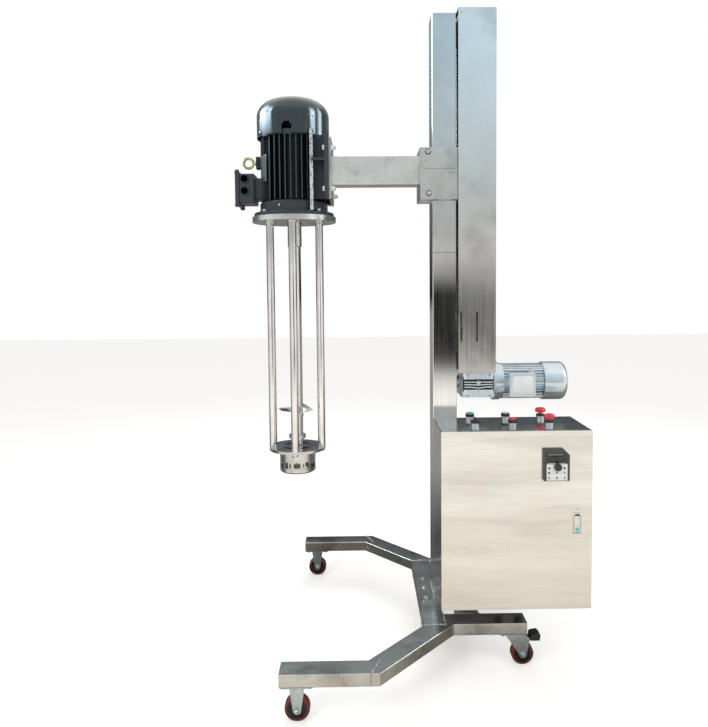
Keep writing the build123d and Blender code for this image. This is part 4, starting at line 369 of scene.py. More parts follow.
def curvedPad(shape, centre, radius, bearing, span, low, high, rise, steps=12):
    # a pad pressed out of an upright drum, thickest in its middle
    def point(u, v, proud):
        angle = radians(bearing + (u - 0.5) * span)
        reach = radius + proud
        x, y = centre[0] + reach * sin(angle), centre[1] - reach * cos(angle)
        return shape.verts.new((x, y, low + (high - low) * v))

    def swelling(u, v):
        margin = min(u, 1 - u, v, 1 - v) * 6
        return rise * sin(min(margin, 1.0) * pi / 2) + 0.0001

    shares = [step / steps for step in range(steps + 1)]
    inner = [[point(u, v, -0.0004) for u in shares] for v in shares]
    outer = [[point(u, v, swelling(u, v)) for u in shares] for v in shares]
    gridFaces(shape, inner)
    gridFaces(shape, outer)
    bridge(shape, rimOf(inner), rimOf(outer))


def showPiece(name, body, finish, mesh, sharp=38):
    mesh.name = name
    mesh.materials.clear()
    mesh.materials.append(materials[finish])
    mesh.shade_smooth()
    mesh.set_sharp_from_angle(angle=radians(sharp))
    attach(newObject(name, mesh), body)


def finishShape(shape):
    bmesh.ops.remove_doubles(shape, verts=shape.verts, dist=0.000005)
    bmesh.ops.recalc_face_normals(shape, faces=shape.faces)
    mesh = bpy.data.meshes.new("shape")
    shape.to_mesh(mesh)
    shape.free()
    return mesh


def makePiece(name, body, finish, shape, sharp=38):
    showPiece(name, body, finish, finishShape(shape), sharp)


def turnedPiece(name, body, finish, profile, seats, steps):
    shape = bmesh.new()
    for place in seats:
        turned(shape, profile, place, steps)
    makePiece(name, body, finish, shape)


def slabPiece(name, body, finish, *slabs):
    # each slab: width, height, corner radius, from, to, eased edge, seat
    shape = bmesh.new()
    for item in slabs:
        slab(shape, *item)
    makePiece(name, body, finish, shape)


# Geometry Nodes: one tree sets a fastener on every seat, one runs a weld along a path

def startTree(name, inputs):
    tree = bpy.data.node_groups.new(name, "GeometryNodeTree")
    sockets = tree.interface
    sockets.new_socket("Geometry", in_out="INPUT", socket_type="NodeSocketGeometry")
    for label, kind, value in inputs:
        socket = sockets.new_socket(label, in_out="INPUT", socket_type=kind)
        if value is not None:
            socket.default_value = value
    sockets.new_socket("Finish", in_out="INPUT", socket_type="NodeSocketMaterial")
    sockets.new_socket("Geometry", in_out="OUTPUT", socket_type="NodeSocketGeometry")
    return tree, addNode(tree, "NodeGroupInput").outputs


def evenly(tree, value):
    return addNode(tree, "ShaderNodeCombineXYZ", {"X": value, "Y": value, "Z": value}).outputs[0]


def endTree(tree, given, instances):
    solid = addNode(tree, "GeometryNodeRealizeInstances", {"Geometry": instances})
    coated = addNode(tree, "GeometryNodeSetMaterial", {
        "Geometry": solid.outputs["Geometry"], "Material": given["Finish"],
    })
    addNode(tree, "NodeGroupOutput", {"Geometry": coated.outputs["Geometry"]})
    return tree


def fastenerTree():
    tree, given = startTree("fasteners", (
        ("Fastener", "NodeSocketObject", None),
        ("Size", "NodeSocketFloat", 1.0),
        ("Slack Turn", "NodeSocketFloat", 0.0),
        ("Seed", "NodeSocketInt", 3),
    ))
    shown = addNode(
        tree, "GeometryNodeObjectInfo", {"Object": given["Fastener"]}, transform_space="ORIGINAL"
    )
    stored = addNode(
        tree, "GeometryNodeInputNamedAttribute", {"Name": "turn"}, data_type="FLOAT_VECTOR"
    )
    facing = addNode(tree, "FunctionNodeEulerToRotation", {"Euler": stored.outputs["Attribute"]})
    chance = addNode(tree, "FunctionNodeRandomValue", {"Seed": given["Seed"]}, data_type="FLOAT")
    away = times(tree, maths(tree, "SUBTRACT", chance.outputs[1], 0.5), given["Slack Turn"])
    spin = addNode(tree, "ShaderNodeCombineXYZ", {"Z": away})
    own = addNode(tree, "FunctionNodeEulerToRotation", {"Euler": spin.outputs[0]})
    turn = addNode(
        tree, "FunctionNodeRotateRotation",
        {"Rotation": facing.outputs[0], "Rotate By": own.outputs[0]}, rotation_space="LOCAL",
    )
    placed = addNode(tree, "GeometryNodeInstanceOnPoints", {
        "Points": given["Geometry"], "Instance": shown.outputs["Geometry"],
        "Rotation": turn.outputs[0], "Scale": evenly(tree, given["Size"]),
    })
    return endTree(tree, given, placed.outputs["Instances"])


def weldTree():
    tree, given = startTree("weldBeads", (
        ("Bead Radius", "NodeSocketFloat", 0.003),
        ("Ripple", "NodeSocketFloat", 0.0024),
        ("Unevenness", "NodeSocketFloat", 0.3),
        ("Seed", "NodeSocketInt", 5),
    ))
    path = addNode(tree, "GeometryNodeMeshToCurve", {"Mesh": given["Geometry"]})
    spaced = addNode(tree, "GeometryNodeResampleCurve", {
        "Curve": path.outputs["Curve"], "Length": given["Ripple"],
    }, mode="LENGTH")
    drop = addNode(tree, "GeometryNodeMeshIcoSphere", {"Radius": given["Bead Radius"], "Subdivisions": 2})
    least = maths(tree, "SUBTRACT", 1.0, given["Unevenness"])
    grown = addNode(tree, "FunctionNodeRandomValue", {
        2: least, 3: 1.0, "Seed": given["Seed"],
    }, data_type="FLOAT")
    placed = addNode(tree, "GeometryNodeInstanceOnPoints", {
        "Points": spaced.outputs["Curve"], "Instance": drop.outputs["Mesh"],
        "Scale": evenly(tree, grown.outputs[1]),
    })
    return endTree(tree, given, placed.outputs["Instances"])


def growPiece(name, body, finish, start, tree, values, sharp=38):
    holder = newObject(name, start)
    modifier = holder.modifiers.new("grow", "NODES")
    modifier.node_group = tree
    sockets = {
        item.name: item.identifier
        for item in tree.interface.items_tree
        if item.item_type == "SOCKET" and item.in_out == "INPUT"
    }
    for label, value in {**values, "Finish": materials[finish]}.items():
        modifier[sockets[label]] = value
    graph = bpy.context.evaluated_depsgraph_get()
    mesh = bpy.data.meshes.new_from_object(holder.evaluated_get(graph), depsgraph=graph)
    holder.modifiers.remove(modifier)
    bpy.data.objects.remove(holder)
    showPiece(name, body, finish, mesh, sharp)


def fasten(name, body, kind, seats, size, slack, seed=3):
    # one fastener on each seat, turned at random by up to half the slack, in radians
    start = bpy.data.meshes.new(name)
    start.from_pydata([tuple(place.translation) for place in seats], [], [])
    turn = start.attributes.new("turn", "FLOAT_VECTOR", "POINT")
    for item, place in zip(turn.data, seats):
        item.vector = tuple(place.to_euler())
    growPiece(name, body, "hardware", start, trees["fasteners"], {
        "Fastener": fasteners[kind], "Size": size, "Slack Turn": slack, "Seed": seed,
    })


def weld(name, body, runs, radius, ripple, seed):
    # each run is a line of points that the beads follow
    start = bpy.data.meshes.new(name)
    points, edges = [], []
    for run in runs:
        first = len(points)
        points.extend(run)
        edges.extend((first + step, first + step + 1) for step in range(len(run) - 1))
    start.from_pydata(points, edges, [])
    growPiece(name, body, "weld", start, trees["welds"], {
        "Bead Radius": radius, "Ripple": ripple, "Unevenness": 0.35, "Seed": seed,
    }, 60)


def recessed(kind, bearing):
    # radius of a driver's recess in its own direction
    if kind == "hex":
        return 0.0022 / cos(radians(bearing % 60 - 30))
    return 0.0007 + 0.0017 * abs(cos(radians(2 * bearing))) ** 3


def drivenHead(radius, height, dome, kind, depth):
    shape = bmesh.new()
    steps = 24
    recess = []
    for step in range(steps):
        bearing = 360 * step / steps
        reach = recessed(kind, bearing)
        recess.append((reach * cos(radians(bearing)), reach * sin(radians(bearing))))
    lofted(shape, (
        (circleOutline(radius, steps), 0.0),
        (circleOutline(radius, steps), height - dome),
        (circleOutline(radius * 0.86, steps), height - dome * 0.3),
        (circleOutline(radius * 0.66, steps), height),
        (recess, height), (recess, height - depth),
    ), Matrix())
    return shape


def hexNut(width, height, washer, bore=0.0):
    shape = bmesh.new()
    corner, foot = width / sqrt(3), 0.0012
    turned(shape, ((0, 0), (washer, 0), (washer, 0.0009), (washer - 0.0003, foot), (0, foot)), Matrix(), 28)
    top = foot + height
    lofted(shape, (
        (circleOutline(corner, 6), foot), (circleOutline(corner, 6), foot + height * 0.82),
        (circleOutline(corner * 0.88, 6), top),
    ), Matrix())
    if bore:
        thin = bore * 0.8
        turned(shape, (
            (0, top - 0.0005), (thin, top - 0.0005), (bore, top),
            (bore, top + 0.0022), (thin, top + 0.003), (0, top + 0.003),
        ), Matrix(), 16)
    return shape


def domeRivet():
    shape = bmesh.new()
    turned(shape, (
        (0, 0), (0.002, 0), (0.0019, 0.0006), (0.0014, 0.0011), (0.0007, 0.0013), (0, 0.00135),
    ), Matrix(), 14)
    return shape


def template(name, shape):
    mesh = finishShape(shape)
    mesh.name = name
    return newObject(name, mesh)


fasteners = {
    "pan": template("panHead", drivenHead(0.0042, 0.0026, 0.0012, "cross", 0.0016)),
    "socket": template("socketHead", drivenHead(0.0048, 0.0058, 0.0006, "hex", 0.0028)),
    "button": template("buttonHead", drivenHead(0.0052, 0.0030, 0.0018, "hex", 0.0014)),
    "hex": template("hexHead", hexNut(0.010, 0.0042, 0.0068)),
    "nut": template("hexNut", hexNut(0.010, 0.0048, 0.0064, 0.0029)),
    "rivet": template("domeRivet", domeRivet()),
}
trees = {"fasteners": fastenerTree(), "welds": weldTree()}
print("tools ready")


# Weld metal and small hardware

def addSteels(table):
    # each steel: name, light, dark, grain, roughness, scale of its clouds
    for key, values in table.items():
        materials[key] = turnedSteel(*values)


def addPlastics(table):
    # each plastic: name, base, worn, roughness, bump, coat
    for key, values in table.items():
        materials[key] = mouldedPlastic(*values)


addSteels({
    "weld": ("weldBead", rgb(0.62, 0.60, 0.58), rgb(0.26, 0.24, 0.23), (300, 300, 300), (0.22, 0.4), 90.0),
    "hardware": (
        "brightScrew", rgb(0.82, 0.82, 0.80), rgb(0.55, 0.54, 0.52), (200, 200, 200), (0.14, 0.3), 60.0,
    ),
})
addPlastics({
    "grimeAndShade": ("grimyRing", rgb(0.045, 0.042, 0.038), rgb(0.10, 0.095, 0.085), (0.45, 0.6), 0.1),
    # near-black finish of seams and scuffs, and of painted shade in holes, slits and gaps
    "shadowGap": ("paintedShadeAndDarkLines", rgb(0.008, 0.008, 0.008), rgb(0.02, 0.02, 0.02), (0.6, 0.8)),
})


# Stand: welded base, mast and screw cover

standLook = {
    "tube": {
        "light": rgb(0.80, 0.78, 0.745), "dark": rgb(0.50, 0.48, 0.45), "grain": (40, 210, 210),
        "clouds": 6.0, "streaks": 0.3, "rough": (0.14, 0.28), "scratch": rgb(0.85, 0.84, 0.8),
        "scratchScale": 5.0, "scratches": 0.4, "dents": 1.6, "dentScale": 9.0,
        "stains": (
            (rgb(0.24, 0.21, 0.18), 4.5, (0.3, 1.1, 0.2), 0.54, 0.7),
            (rgb(0.72, 0.70, 0.66), 7.0, (5.3, 0.1, 2.2), 0.58, 0.6),
        ),
    },
    "upright": {
        "light": rgb(0.90, 0.89, 0.87), "dark": rgb(0.66, 0.65, 0.63), "grain": (230, 230, 3),
        "clouds": 3.2, "streaks": 0.3, "rough": (0.05, 0.13), "scratch": rgb(0.28, 0.27, 0.26),
        "scratches": 0.22, "scratchScale": 4.0, "scratchWidth": 0.006, "dents": 1.2, "dentScale": 5.0,
        "stains": ((rgb(0.34, 0.33, 0.32), 9.0, (2.0, 0.4, 3.1), 0.6, 0.5, 0.12, (1, 1, 0.25)),),
    },
    "cover": {
        "light": rgb(0.98, 0.965, 0.94), "dark": rgb(0.86, 0.845, 0.82), "grain": (260, 260, 4),
        "clouds": 2.6, "streaks": 0.18, "rough": (0.11, 0.2), "scratch": rgb(0.97, 0.95, 0.92),
        "scratches": 0.35, "scratchScale": 6.0, "scratchWidth": 0.005, "dents": 0.9, "dentScale": 6.0,
        "stains": ((rgb(0.52, 0.47, 0.43), 3.2, (1.0, 2.0, 0.35), 0.52, 0.5),),
    },
}
materials["tube"] = sheetSteel("baseTube", standLook["tube"])
materials["upright"] = sheetSteel("polishedMast", standLook["upright"])
materials["cover"] = sheetSteel("coverSheet", standLook["cover"])
materials["padWhite"] = mouldedPlastic("padPlastic", rgb(0.74, 0.74, 0.71), rgb(0.62, 0.62, 0.58))
addSteels({
    "machined": ("machinedSteel", rgb(0.80, 0.78, 0.75), rgb(0.56, 0.54, 0.51), (40, 40, 500), (0.14, 0.28)),
    "cutPlate": ("cutPlate", rgb(0.74, 0.71, 0.66), rgb(0.48, 0.45, 0.41), (60, 60, 60), (0.24, 0.4)),
    "bronze": ("bronzeNut", rgb(0.66, 0.43, 0.20), rgb(0.42, 0.26, 0.12), (40, 40, 400), (0.22, 0.38), 30.0),
})
for name in ("outriggers", "diagonals", "crossbeams", "rear_legs", "foot_plate"):
    finishOf[name] = "tube"
finishOf.update({
    "mast": "upright", "screw_cover": "cover", "bearing_plates": "cutPlate", "foot_bolts": "hardware",
    "guide_pads": "padWhite", "lifting_screw": "thread", "lifting_nut": "bronze",
})


def threadedScrew():
    # rolled thread of the lifting screw, one turn every ten millimetres
    material, tree, coords = startMaterial("threadedScrew")
    parts = axisParts(tree, moved(tree, coords, (0.261, 0.0, 0.0)))
    angle = maths(tree, "DIVIDE", maths(tree, "ARCTAN2", parts["Y"], parts["X"]), 2 * pi)
    rise = plus(tree, times(tree, parts["Z"], 100.0), angle)
    tooth = maths(tree, "PINGPONG", rise, 0.5)
    flank = ramp(tree, tooth, 0.12, 0.38)
    clouds = noise(tree, coords, 40.0)
    # the thread is drawn in colour: painted shade in its roots, light crests, then brownish patches in
    # clouds
    colour = mixColour(tree, flank, rgb(0.22, 0.20, 0.17), rgb(0.76, 0.75, 0.72))
    colour = mixColour(tree, ramp(tree, clouds, 0.5, 0.75, 0.0, 0.5), colour, rgb(0.35, 0.27, 0.16))
    roughness = ramp(tree, clouds, 0.3, 0.7, 0.2, 0.42)
    return finishMaterial(material, tree, colour, roughness, flank, 0.8, 0.003, Metallic=1.0)


materials["thread"] = threadedScrew()


def standWelds():
    deck, under = 0.1574, 0.1174  # top and underside of the tubes
    bendX, mastX = -0.1319, 0.14
    runs = []
    for side in (-1, 1):
        outer, inner = 0.5525 * side, 0.4775 * side
        mitreX, mitreY = bendX - 0.0105, outer + 0.0005 * side
        runs += [
            [(bendX - 0.010, outer, deck), (bendX + 0.018, inner, deck)],
            [(mitreX, mitreY, deck - 0.002), (mitreX, mitreY, under + 0.004)],
            [(0.0405, 0.2675 * side, deck), (0.1155, 0.2675 * side, deck)],
            [(0.1155, 0.1930 * side, deck), (0.1155, 0.2670 * side, deck)],
            [(0.1157, 0.2678 * side, deck - 0.001), (0.1157, 0.2678 * side, under + 0.003)],
            [(0.1645, 0.1925 * side, deck), (0.2395, 0.1925 * side, deck)],
            [(0.0401, 0.1935 * side, deck - 0.001), (0.0401, 0.1935 * side, under + 0.004)],
        ]
    weld("baseWelds", "stand", runs, 0.0026, 0.0022, 11)
    turns = ((-1, -1), (1, -1), (1, 1), (-1, 1))
    halfX, halfY, foot = 0.0437, 0.0522, 0.1652
    loop = [(mastX + x * halfX, y * halfY, foot) for x, y in turns + turns[:1]]
    weld("mastWeld", "stand", [loop], 0.0034, 0.0026, 12)
    spanX, edgeY, plateFoot = (0.058, 0.033), 0.1053, 0.1575
    spots = [[(mastX + x * span, y * edgeY, plateFoot) for span in spanX] for x, y in turns]
    weld("footPlateWelds", "stand", spots, 0.0028, 0.0024, 13)


def standTrim():
    coverFace, mastFace = -0.0820, -0.0520
    slabPiece("mastCap", "stand", "tube", (
        0.0785, 0.0955, 0.004, 2.2405, 2.2466, 0.0008, seat("up", (0.14, 0.0, 0.0)),
    ))
    fasten("coverScrews", "stand", "pan", [
        seat("front", (0.1975, coverFace, 2.239)), seat("front", (0.2045, coverFace, 0.996)),
    ], 1.1, 3.0)
    turnedPiece("coverPilotHoles", "stand", "shadowGap", thinDisc(0.0011), [
        seat("front", (0.2045, coverFace, 2.2395)), seat("front", (0.2090, coverFace, 2.2360)),
    ], 12)
    scuffs = bmesh.new()
    shares = [step / 12 for step in range(13)]
    for height, sag, thick in (
        (1.411, 0.0016, 0.0006), (1.245, -0.0008, 0.0005), (1.2405, 0.0004, 0.0003),
    ):
        line = [(0.099 + 0.082 * u, height + sag * sin(pi * u)) for u in shares]
        darkLine(scuffs, line, thick, seat("front", (0.0, mastFace, 0.0)))
    makePiece("mastScuffs", "stand", "shadowGap", scuffs)


standWelds()
standTrim()
print("stand dressed")


# Casters: plated forks, black cores, dark red treads

casterLook = {
    "core": rgb(0.012, 0.010, 0.010), "tread": rgb(0.140, 0.016, 0.014),
    "treadWorn": rgb(0.235, 0.030, 0.024), "wheelRadius": 0.038, "coreRadius": 0.0302,
}
materials["fork"] = plated("zincFork", rgb(0.66, 0.74, 0.76), rgb(0.42, 0.49, 0.51), rgb(0.80, 0.83, 0.82))
addSteels({
    "grease": ("raceway", rgb(0.42, 0.16, 0.05), rgb(0.16, 0.06, 0.025), (80, 80, 80), (0.25, 0.45), 120.0),
})
addPlastics({
    "pedal": ("pedalNylon", rgb(0.010, 0.011, 0.010), rgb(0.035, 0.037, 0.034), (0.35, 0.5), 0.2),
})
casters = {  # axle's X and Y, body of the fork
    "front_near": (-0.363, -0.515, "stand"), "front_far": (-0.363, 0.515, "stand"),
    "rear_near": (0.380, -0.230, "swivel_near"), "rear_far": (0.380, 0.230, "swivel_far"),
}


def wheelMaterial(name, x, y):
    material, tree, coords = startMaterial(name)
    reach = fromAxis(tree, coords, (x, y, casterLook["wheelRadius"]), "Y")
    edge, soft = casterLook["coreRadius"], 0.0003
    outside = ramp(tree, reach, edge - soft, edge + soft)
    clouds = noise(tree, coords, 90.0, 5.0, 0.6)
    grimeAndShade = noise(tree, coords, 26.0, 4.0, 0.6)
    tread = shade(tree, clouds, 0.4, 0.65, casterLook["tread"], casterLook["treadWorn"])
    tread = mixColour(tree, ramp(tree, grimeAndShade, 0.52, 0.68, 0.0, 0.7), tread, rgb(0.035, 0.012, 0.011))
    core = shade(tree, grimeAndShade, 0.45, 0.7, casterLook["core"], rgb(0.035, 0.03, 0.032))
    colour = mixColour(tree, outside, core, tread)
    roughness = ramp(tree, grimeAndShade, 0.3, 0.7, 0.25, 0.5)
    return finishMaterial(material, tree, colour, roughness, clouds, 0.15, 0.0004)


def dressCasters():
    axle, forkFace, hubFace = casterLook["wheelRadius"], 0.0270, 0.0122
    swivelX, rearY = 0.344, 0.230
    nuts = {}
    for key, (x, y, body) in casters.items():
        wheel = f"wheel_{key}"
        materials[wheel] = wheelMaterial(f"castorWheel_{key}", x, y)
        finishOf[wheel] = wheel
        nuts.setdefault(body, []).append(seat("front", (x, y - forkFace, axle), 12.0))
        nuts[body].append(seat("back", (x, y + forkFace, axle), 12.0))
        turnedPiece(f"hubRing_{key}", wheel, "pedal", (
            (0.0112, 0.0), (0.0165, 0.0), (0.0165, 0.0006), (0.0150, 0.0012),
            (0.0128, 0.0012), (0.0112, 0.0006), (0.0112, 0.0),
        ), [seat("front", (x, y - hubFace, axle)), seat("back", (x, y + hubFace, axle))], 36)
    for body, seats in nuts.items():
        fasten(f"axleNuts_{body}", body, "nut", seats, 1.05, 0.6, 21)
    plates = ((-0.363, 0.515, 0.038, 0.0275), (swivelX, rearY, 0.0345, 0.0295))
    fasten("casterPlateBolts", "stand", "hex", [
        seat("down", (x + stepX, y + stepY, 0.1140)) for x, plateY, halfX, halfY in plates
        for y in (-plateY, plateY) for stepX in (-halfX, halfX) for stepY in (-halfY, halfY)
    ], 0.85, 2.0, 22)
    for side, y in (("near", -rearY), ("far", rearY)):
        pedal = f"brake_pedal_{side}"
        turnedPiece(f"racewayRing_{side}", "stand", "grease", (
            (0.0275, 0.0), (0.0300, 0.0), (0.0308, 0.0012), (0.0300, 0.0030), (0.0275, 0.0036),
            (0.0275, 0.0),
        ), [seat("up", (swivelX, y, 0.1100))], 44)
        slabPiece(f"pedalSole_{side}", pedal, "fork", (
            0.0290, 0.0370, 0.003, 0.0, 0.0014, 0.0004, seat("down", (0.4240, y, 0.0859)),
        ))
        slabPiece(f"pedalGrips_{side}", pedal, "pedal", *((
            0.0018, 0.034, 0.0008, 0.0, 0.0011, 0.0003,
            seat("up", (0.4140 + 0.0045 * step, y, 0.1058 + 0.00095 * step)),
        ) for step in range(5)))


dressCasters()
finishOf.update({
    "rigid_forks": "fork", "swivel_plates": "fork", "swivel_fork_near": "fork",
    "swivel_fork_far": "fork", "brake_pedal_near": "pedal", "brake_pedal_far": "pedal",
})
print("casters dressed")


# Carriage, arm and motor plate

armLook = {
    "sheet": {
        "light": rgb(1.0, 0.95, 0.87), "dark": rgb(0.81, 0.765, 0.70), "grain": (10, 320, 320),
        "clouds": 8.0, "streaks": 0.22, "rough": (0.2, 0.34), "scratch": rgb(0.5, 0.48, 0.45),
        "scratches": 0.3, "dents": 1.0, "dentScale": 14.0,
        "stains": ((rgb(0.55, 0.50, 0.46), 14.0, (0.7, 0.1, 0.3), 0.56, 0.5),),
    },
    "carriage": {
        "light": rgb(0.89, 0.85, 0.785), "dark": rgb(0.68, 0.645, 0.59), "grain": (300, 300, 6),
        "clouds": 6.0, "streaks": 0.25, "rough": (0.2, 0.34), "scratch": rgb(0.4, 0.39, 0.37),
        "scratches": 0.3, "dents": 1.0, "dentScale": 12.0,
        "stains": ((rgb(0.42, 0.41, 0.39), 10.0, (0.2, 0.6, 0.9), 0.55, 0.45),),
    },
}
materials["arm"] = sheetSteel("armSheet", armLook["sheet"])
materials["carriage"] = sheetSteel("carriageSheet", armLook["carriage"])
finishOf.update({"arm": "arm", "arm_cover": "arm", "carriage": "carriage", "motor_plate": "cutPlate"})


def dressArm():
    front, back = -0.0700, 0.0700  # faces of the carriage
    screws = [
        seat(side, (x, y, z)) for side, y in (("front", front), ("back", back))
        for x, z in ((0.0808, 1.7646), (0.0821, 1.6202))
    ]
    fasten("carriageScrews", "lift_carriage", "button", screws, 1.45, 3.0, 31)
    turnedPiece("carriageWashers", "lift_carriage", "grimeAndShade", (
        (0.0070, -0.0001), (0.0104, -0.0001), (0.0108, 0.0003), (0.0104, 0.0006), (0.0070, 0.0006),
        (0.0070, -0.0001),
    ), screws, 36)
    marks = bmesh.new()
    for x, z, radius in ((0.0681, 1.7349, 0.0019), (0.1553, 1.6916, 0.0021)):
        turned(marks, thinDisc(radius), seat("front", (x, front, z)), 16)
    shares = [step / 16 for step in range(17)]
    seam = [(0.060 + 0.118 * u, 1.7062 + 0.0005 * sin(9 * u)) for u in shares]
    darkLine(marks, seam, 0.0005, seat("front", (0.0, front, 0.0)))
    makePiece("carriageMarks", "lift_carriage", "shadowGap", marks)

    runs = []
    foot, halfY, tipX = 1.6548, 0.0410, -0.2583
    for x, top in ((0.0528, 1.7130), (tipX, 1.7530)):
        runs += [[(x, y, 1.6555), (x, y, top)] for y in (-0.0415, 0.0415)]
        runs.append([(x, -halfY, foot), (x, halfY, foot)])
    runs.append([(tipX, -halfY, 1.7532), (tipX, halfY, 1.7532)])
    weld("armWelds", "lift_carriage", runs, 0.0024, 0.0020, 32)
    corners = [[(0.0525, y, 1.601), (0.0525, y, 1.777)] for y in (-0.0702, 0.0702)]
    weld("carriageWelds", "lift_carriage", corners, 0.0014, 0.0018, 33)
    fasten("armCoverRivets", "lift_carriage", "rivet", [
        seat(side, (x, y, 1.7190)) for x in (-0.1565, -0.0165)
        for side, y in (("front", -0.0425), ("back", 0.0425))
    ], 1.1, 0.0, 34)


dressArm()
print("arm dressed")


# Mixer motor

motorX = -0.3985
motorLook = {
    "enamel": {
        "base": rgb(0.0035, 0.0065, 0.0095), "worn": rgb(0.0075, 0.012, 0.017),
        "dust": rgb(0.085, 0.10, 0.115), "rough": (0.18, 0.32), "coat": 0.08, "sheen": 0.16,
        "chips": 0.2, "bump": 0.16, "tips": (((motorX, 0.0, 0.0), "Z", 0.1145, 0.1168, 0.55),),
    },
    "cowl": {
        "base": rgb(0.004, 0.0105, 0.014), "worn": rgb(0.014, 0.028, 0.033),
        "dust": rgb(0.09, 0.12, 0.13), "rough": (0.08, 0.2), "coat": 1.0, "sheen": 0.42,
        "chips": 0.12, "bump": 0.1, "clouds": 12.0,
    },
    # colours of the painted highlight on the foot rail
    "railHighlight": {"light": rgb(0.78, 0.80, 0.82), "dark": rgb(0.03, 0.035, 0.045), "scale": 330.0},
    "brass": {"light": rgb(0.80, 0.74, 0.46), "dark": rgb(0.50, 0.42, 0.20)},
}
materials["enamel"] = castEnamel("motorEnamel", motorLook["enamel"])
materials["cowlEnamel"] = castEnamel("cowlEnamel", motorLook["cowl"])
brass = motorLook["brass"]
materials["brass"] = plated("yellowZinc", brass["light"], brass["dark"], rgb(0.62, 0.60, 0.56))


def eyeMaterial():
    # yellow zinc ring; the lug it screws into carries the frame's paint
    material, tree, coords = startMaterial("liftingEye")
    across = axisParts(tree, coords)["X"]
    painted = ramp(tree, across, -0.5342, -0.5338)
    clouds = noise(tree, coords, 60.0)
    yellow = shade(tree, clouds, 0.35, 0.65, brass["dark"], brass["light"])
    black = shade(tree, clouds, 0.35, 0.65, motorLook["enamel"]["base"], motorLook["enamel"]["worn"])
    colour = mixColour(tree, painted, yellow, black)
    metal = fade(tree, painted, 0.0, 1.0)
    roughness = ramp(tree, clouds, 0.3, 0.7, 0.2, 0.36)
    return finishMaterial(material, tree, colour, roughness, clouds, 0.1, 0.0006, metal)


materials["eye"] = eyeMaterial()
finishOf.update({
    "motor_frame": "enamel", "motor_end_shield": "enamel", "terminal_box": "enamel",
    "motor_rotor": "enamel", "motor_cowl": "cowlEnamel", "lifting_eye": "eye",
    "motor_bolts": "hardware",
})


def paintedHighlightStrip():
    # a bright speckled strip: painted highlight along the foot rail's face
    material, tree, coords = startMaterial("paintedHighlightStrip")
    fine = noise(tree, coords, motorLook["railHighlight"]["scale"], 4.0, 0.7)
    broad = noise(tree, coords, 70.0, 3.0, 0.6, stretch=(1, 1, 0.4))
    mask = ramp(tree, plus(tree, times(tree, fine, 0.75), times(tree, broad, 0.25)), 0.44, 0.52)
    colour = mixColour(tree, mask, motorLook["railHighlight"]["dark"], motorLook["railHighlight"]["light"])
    roughness = ramp(tree, fine, 0.3, 0.7, 0.3, 0.55)
    return finishMaterial(material, tree, colour, roughness, fine, 0.6, 0.0012)


materials["railHighlight"] = paintedHighlightStrip()
addPlastics({
    "plateBlank": ("blankPlate", rgb(0.018, 0.022, 0.016), rgb(0.050, 0.058, 0.032), (0.5, 0.62), 0.1),
})


def dressRail():
    # painted highlight on the foot rail's face, a bright speckled strip flaked at random, and the same on
    # the rib under it
    random.seed(41)
    strip = bmesh.new()
    columns, rows = 8, 150
    low, high = 1.5600, 1.8360
    left, right = -0.3322, -0.3208
    railFace, stripBack = -0.1240, -0.1238
    front = []
    for row in range(rows + 1):
        line = []
        for column in range(columns + 1):
            edge = column in (0, columns) or row in (0, rows)
            proud = 0.0002 if edge else random.uniform(0.0003, 0.0016)
            x = left + (right - left) * column / columns + random.uniform(-0.0003, 0.0003)
            line.append(strip.verts.new((x, railFace - proud, low + (high - low) * row / rows)))
        front.append(line)
    gridFaces(strip, front)
    rim = rimOf(front)
    behind = [strip.verts.new((item.co.x, stripBack, item.co.z)) for item in rim]
    bridge(strip, behind, rim)
    strip.faces.new(behind)
    makePiece("railCasting", "lift_carriage", "railHighlight", strip, 80)
    rib = bmesh.new()
    lofted(rib, (
        (roundOutline(0.0130, 0.030, 0.003, 4, (0.0, 0.003)), 0.0),
        (roundOutline(0.0120, 0.026, 0.003, 4, (0.0, 0.002)), 0.016),
        (roundOutline(0.0110, 0.018, 0.003, 4, (0.0, 0.004)), 0.041),
    ), seat("up", (-0.3265, -0.1130, 1.5585)))
    makePiece("shieldRib", "lift_carriage", "railHighlight", rib)


def dressDrum():
    axis = (motorX, 0.0)
    flats = bmesh.new()
    bearings = [33.0 + 90 * step for step in range(4)]
    for bearing in bearings:
        curvedPad(flats, axis, 0.1290, bearing, 11.0, 1.8240, 1.8860, 0.0011)
    makePiece("cowlFlats", "lift_carriage", "cowlEnamel", flats)
    fasten("cowlScrews", "lift_carriage", "pan", [
        around(axis, 0.1300, bearing, 1.8330, 20.0) for bearing in bearings
    ], 1.15, 3.0, 42)
    plate = bmesh.new()
    curvedPad(plate, axis, 0.1172, -63.0, 29.0, 1.6640, 1.7580, 0.0009, 16)
    makePiece("blankPlate", "lift_carriage", "plateBlank", plate)
    fasten("plateRivets", "lift_carriage", "rivet", [
        around(axis, 0.1178, bearing, height) for bearing in (-75.5, -50.5) for height in (1.6680, 1.7540)
    ], 0.9, 0.0, 43)


def dressTerminalBox():
    middle = 1.643
    turnedPiece("cableEntryRings", "lift_carriage", "enamel", (
        (0.0127, 0.0), (0.0127, 0.0012), (0.0134, 0.0020), (0.0150, 0.0020), (0.0159, 0.0010),
        (0.0159, 0.0), (0.0127, 0.0),
    ), [seat("front", (-0.5675, -0.0620, height)) for height in (1.676, 1.634)], 40)
    fasten("terminalLidScrews", "lift_carriage", "pan", [
        seat("left", (-0.60050, y, middle + z)) for y in (-0.057, 0.057) for z in (-0.0565, 0.0565)
    ], 1.0, 3.0, 44)
    seal = bmesh.new()
    outline, inner = roundOutline(0.1195, 0.0990, 0.004), roundOutline(0.1165, 0.0960, 0.003)
    thick = 0.0007
    lofted(seal, (
        (inner, -thick), (outline, -thick), (outline, thick), (inner, thick),
    ), seat("left", (-0.5861, 0.0, middle)), False)
    makePiece("terminalLidSeal", "lift_carriage", "shadowGap", seal)


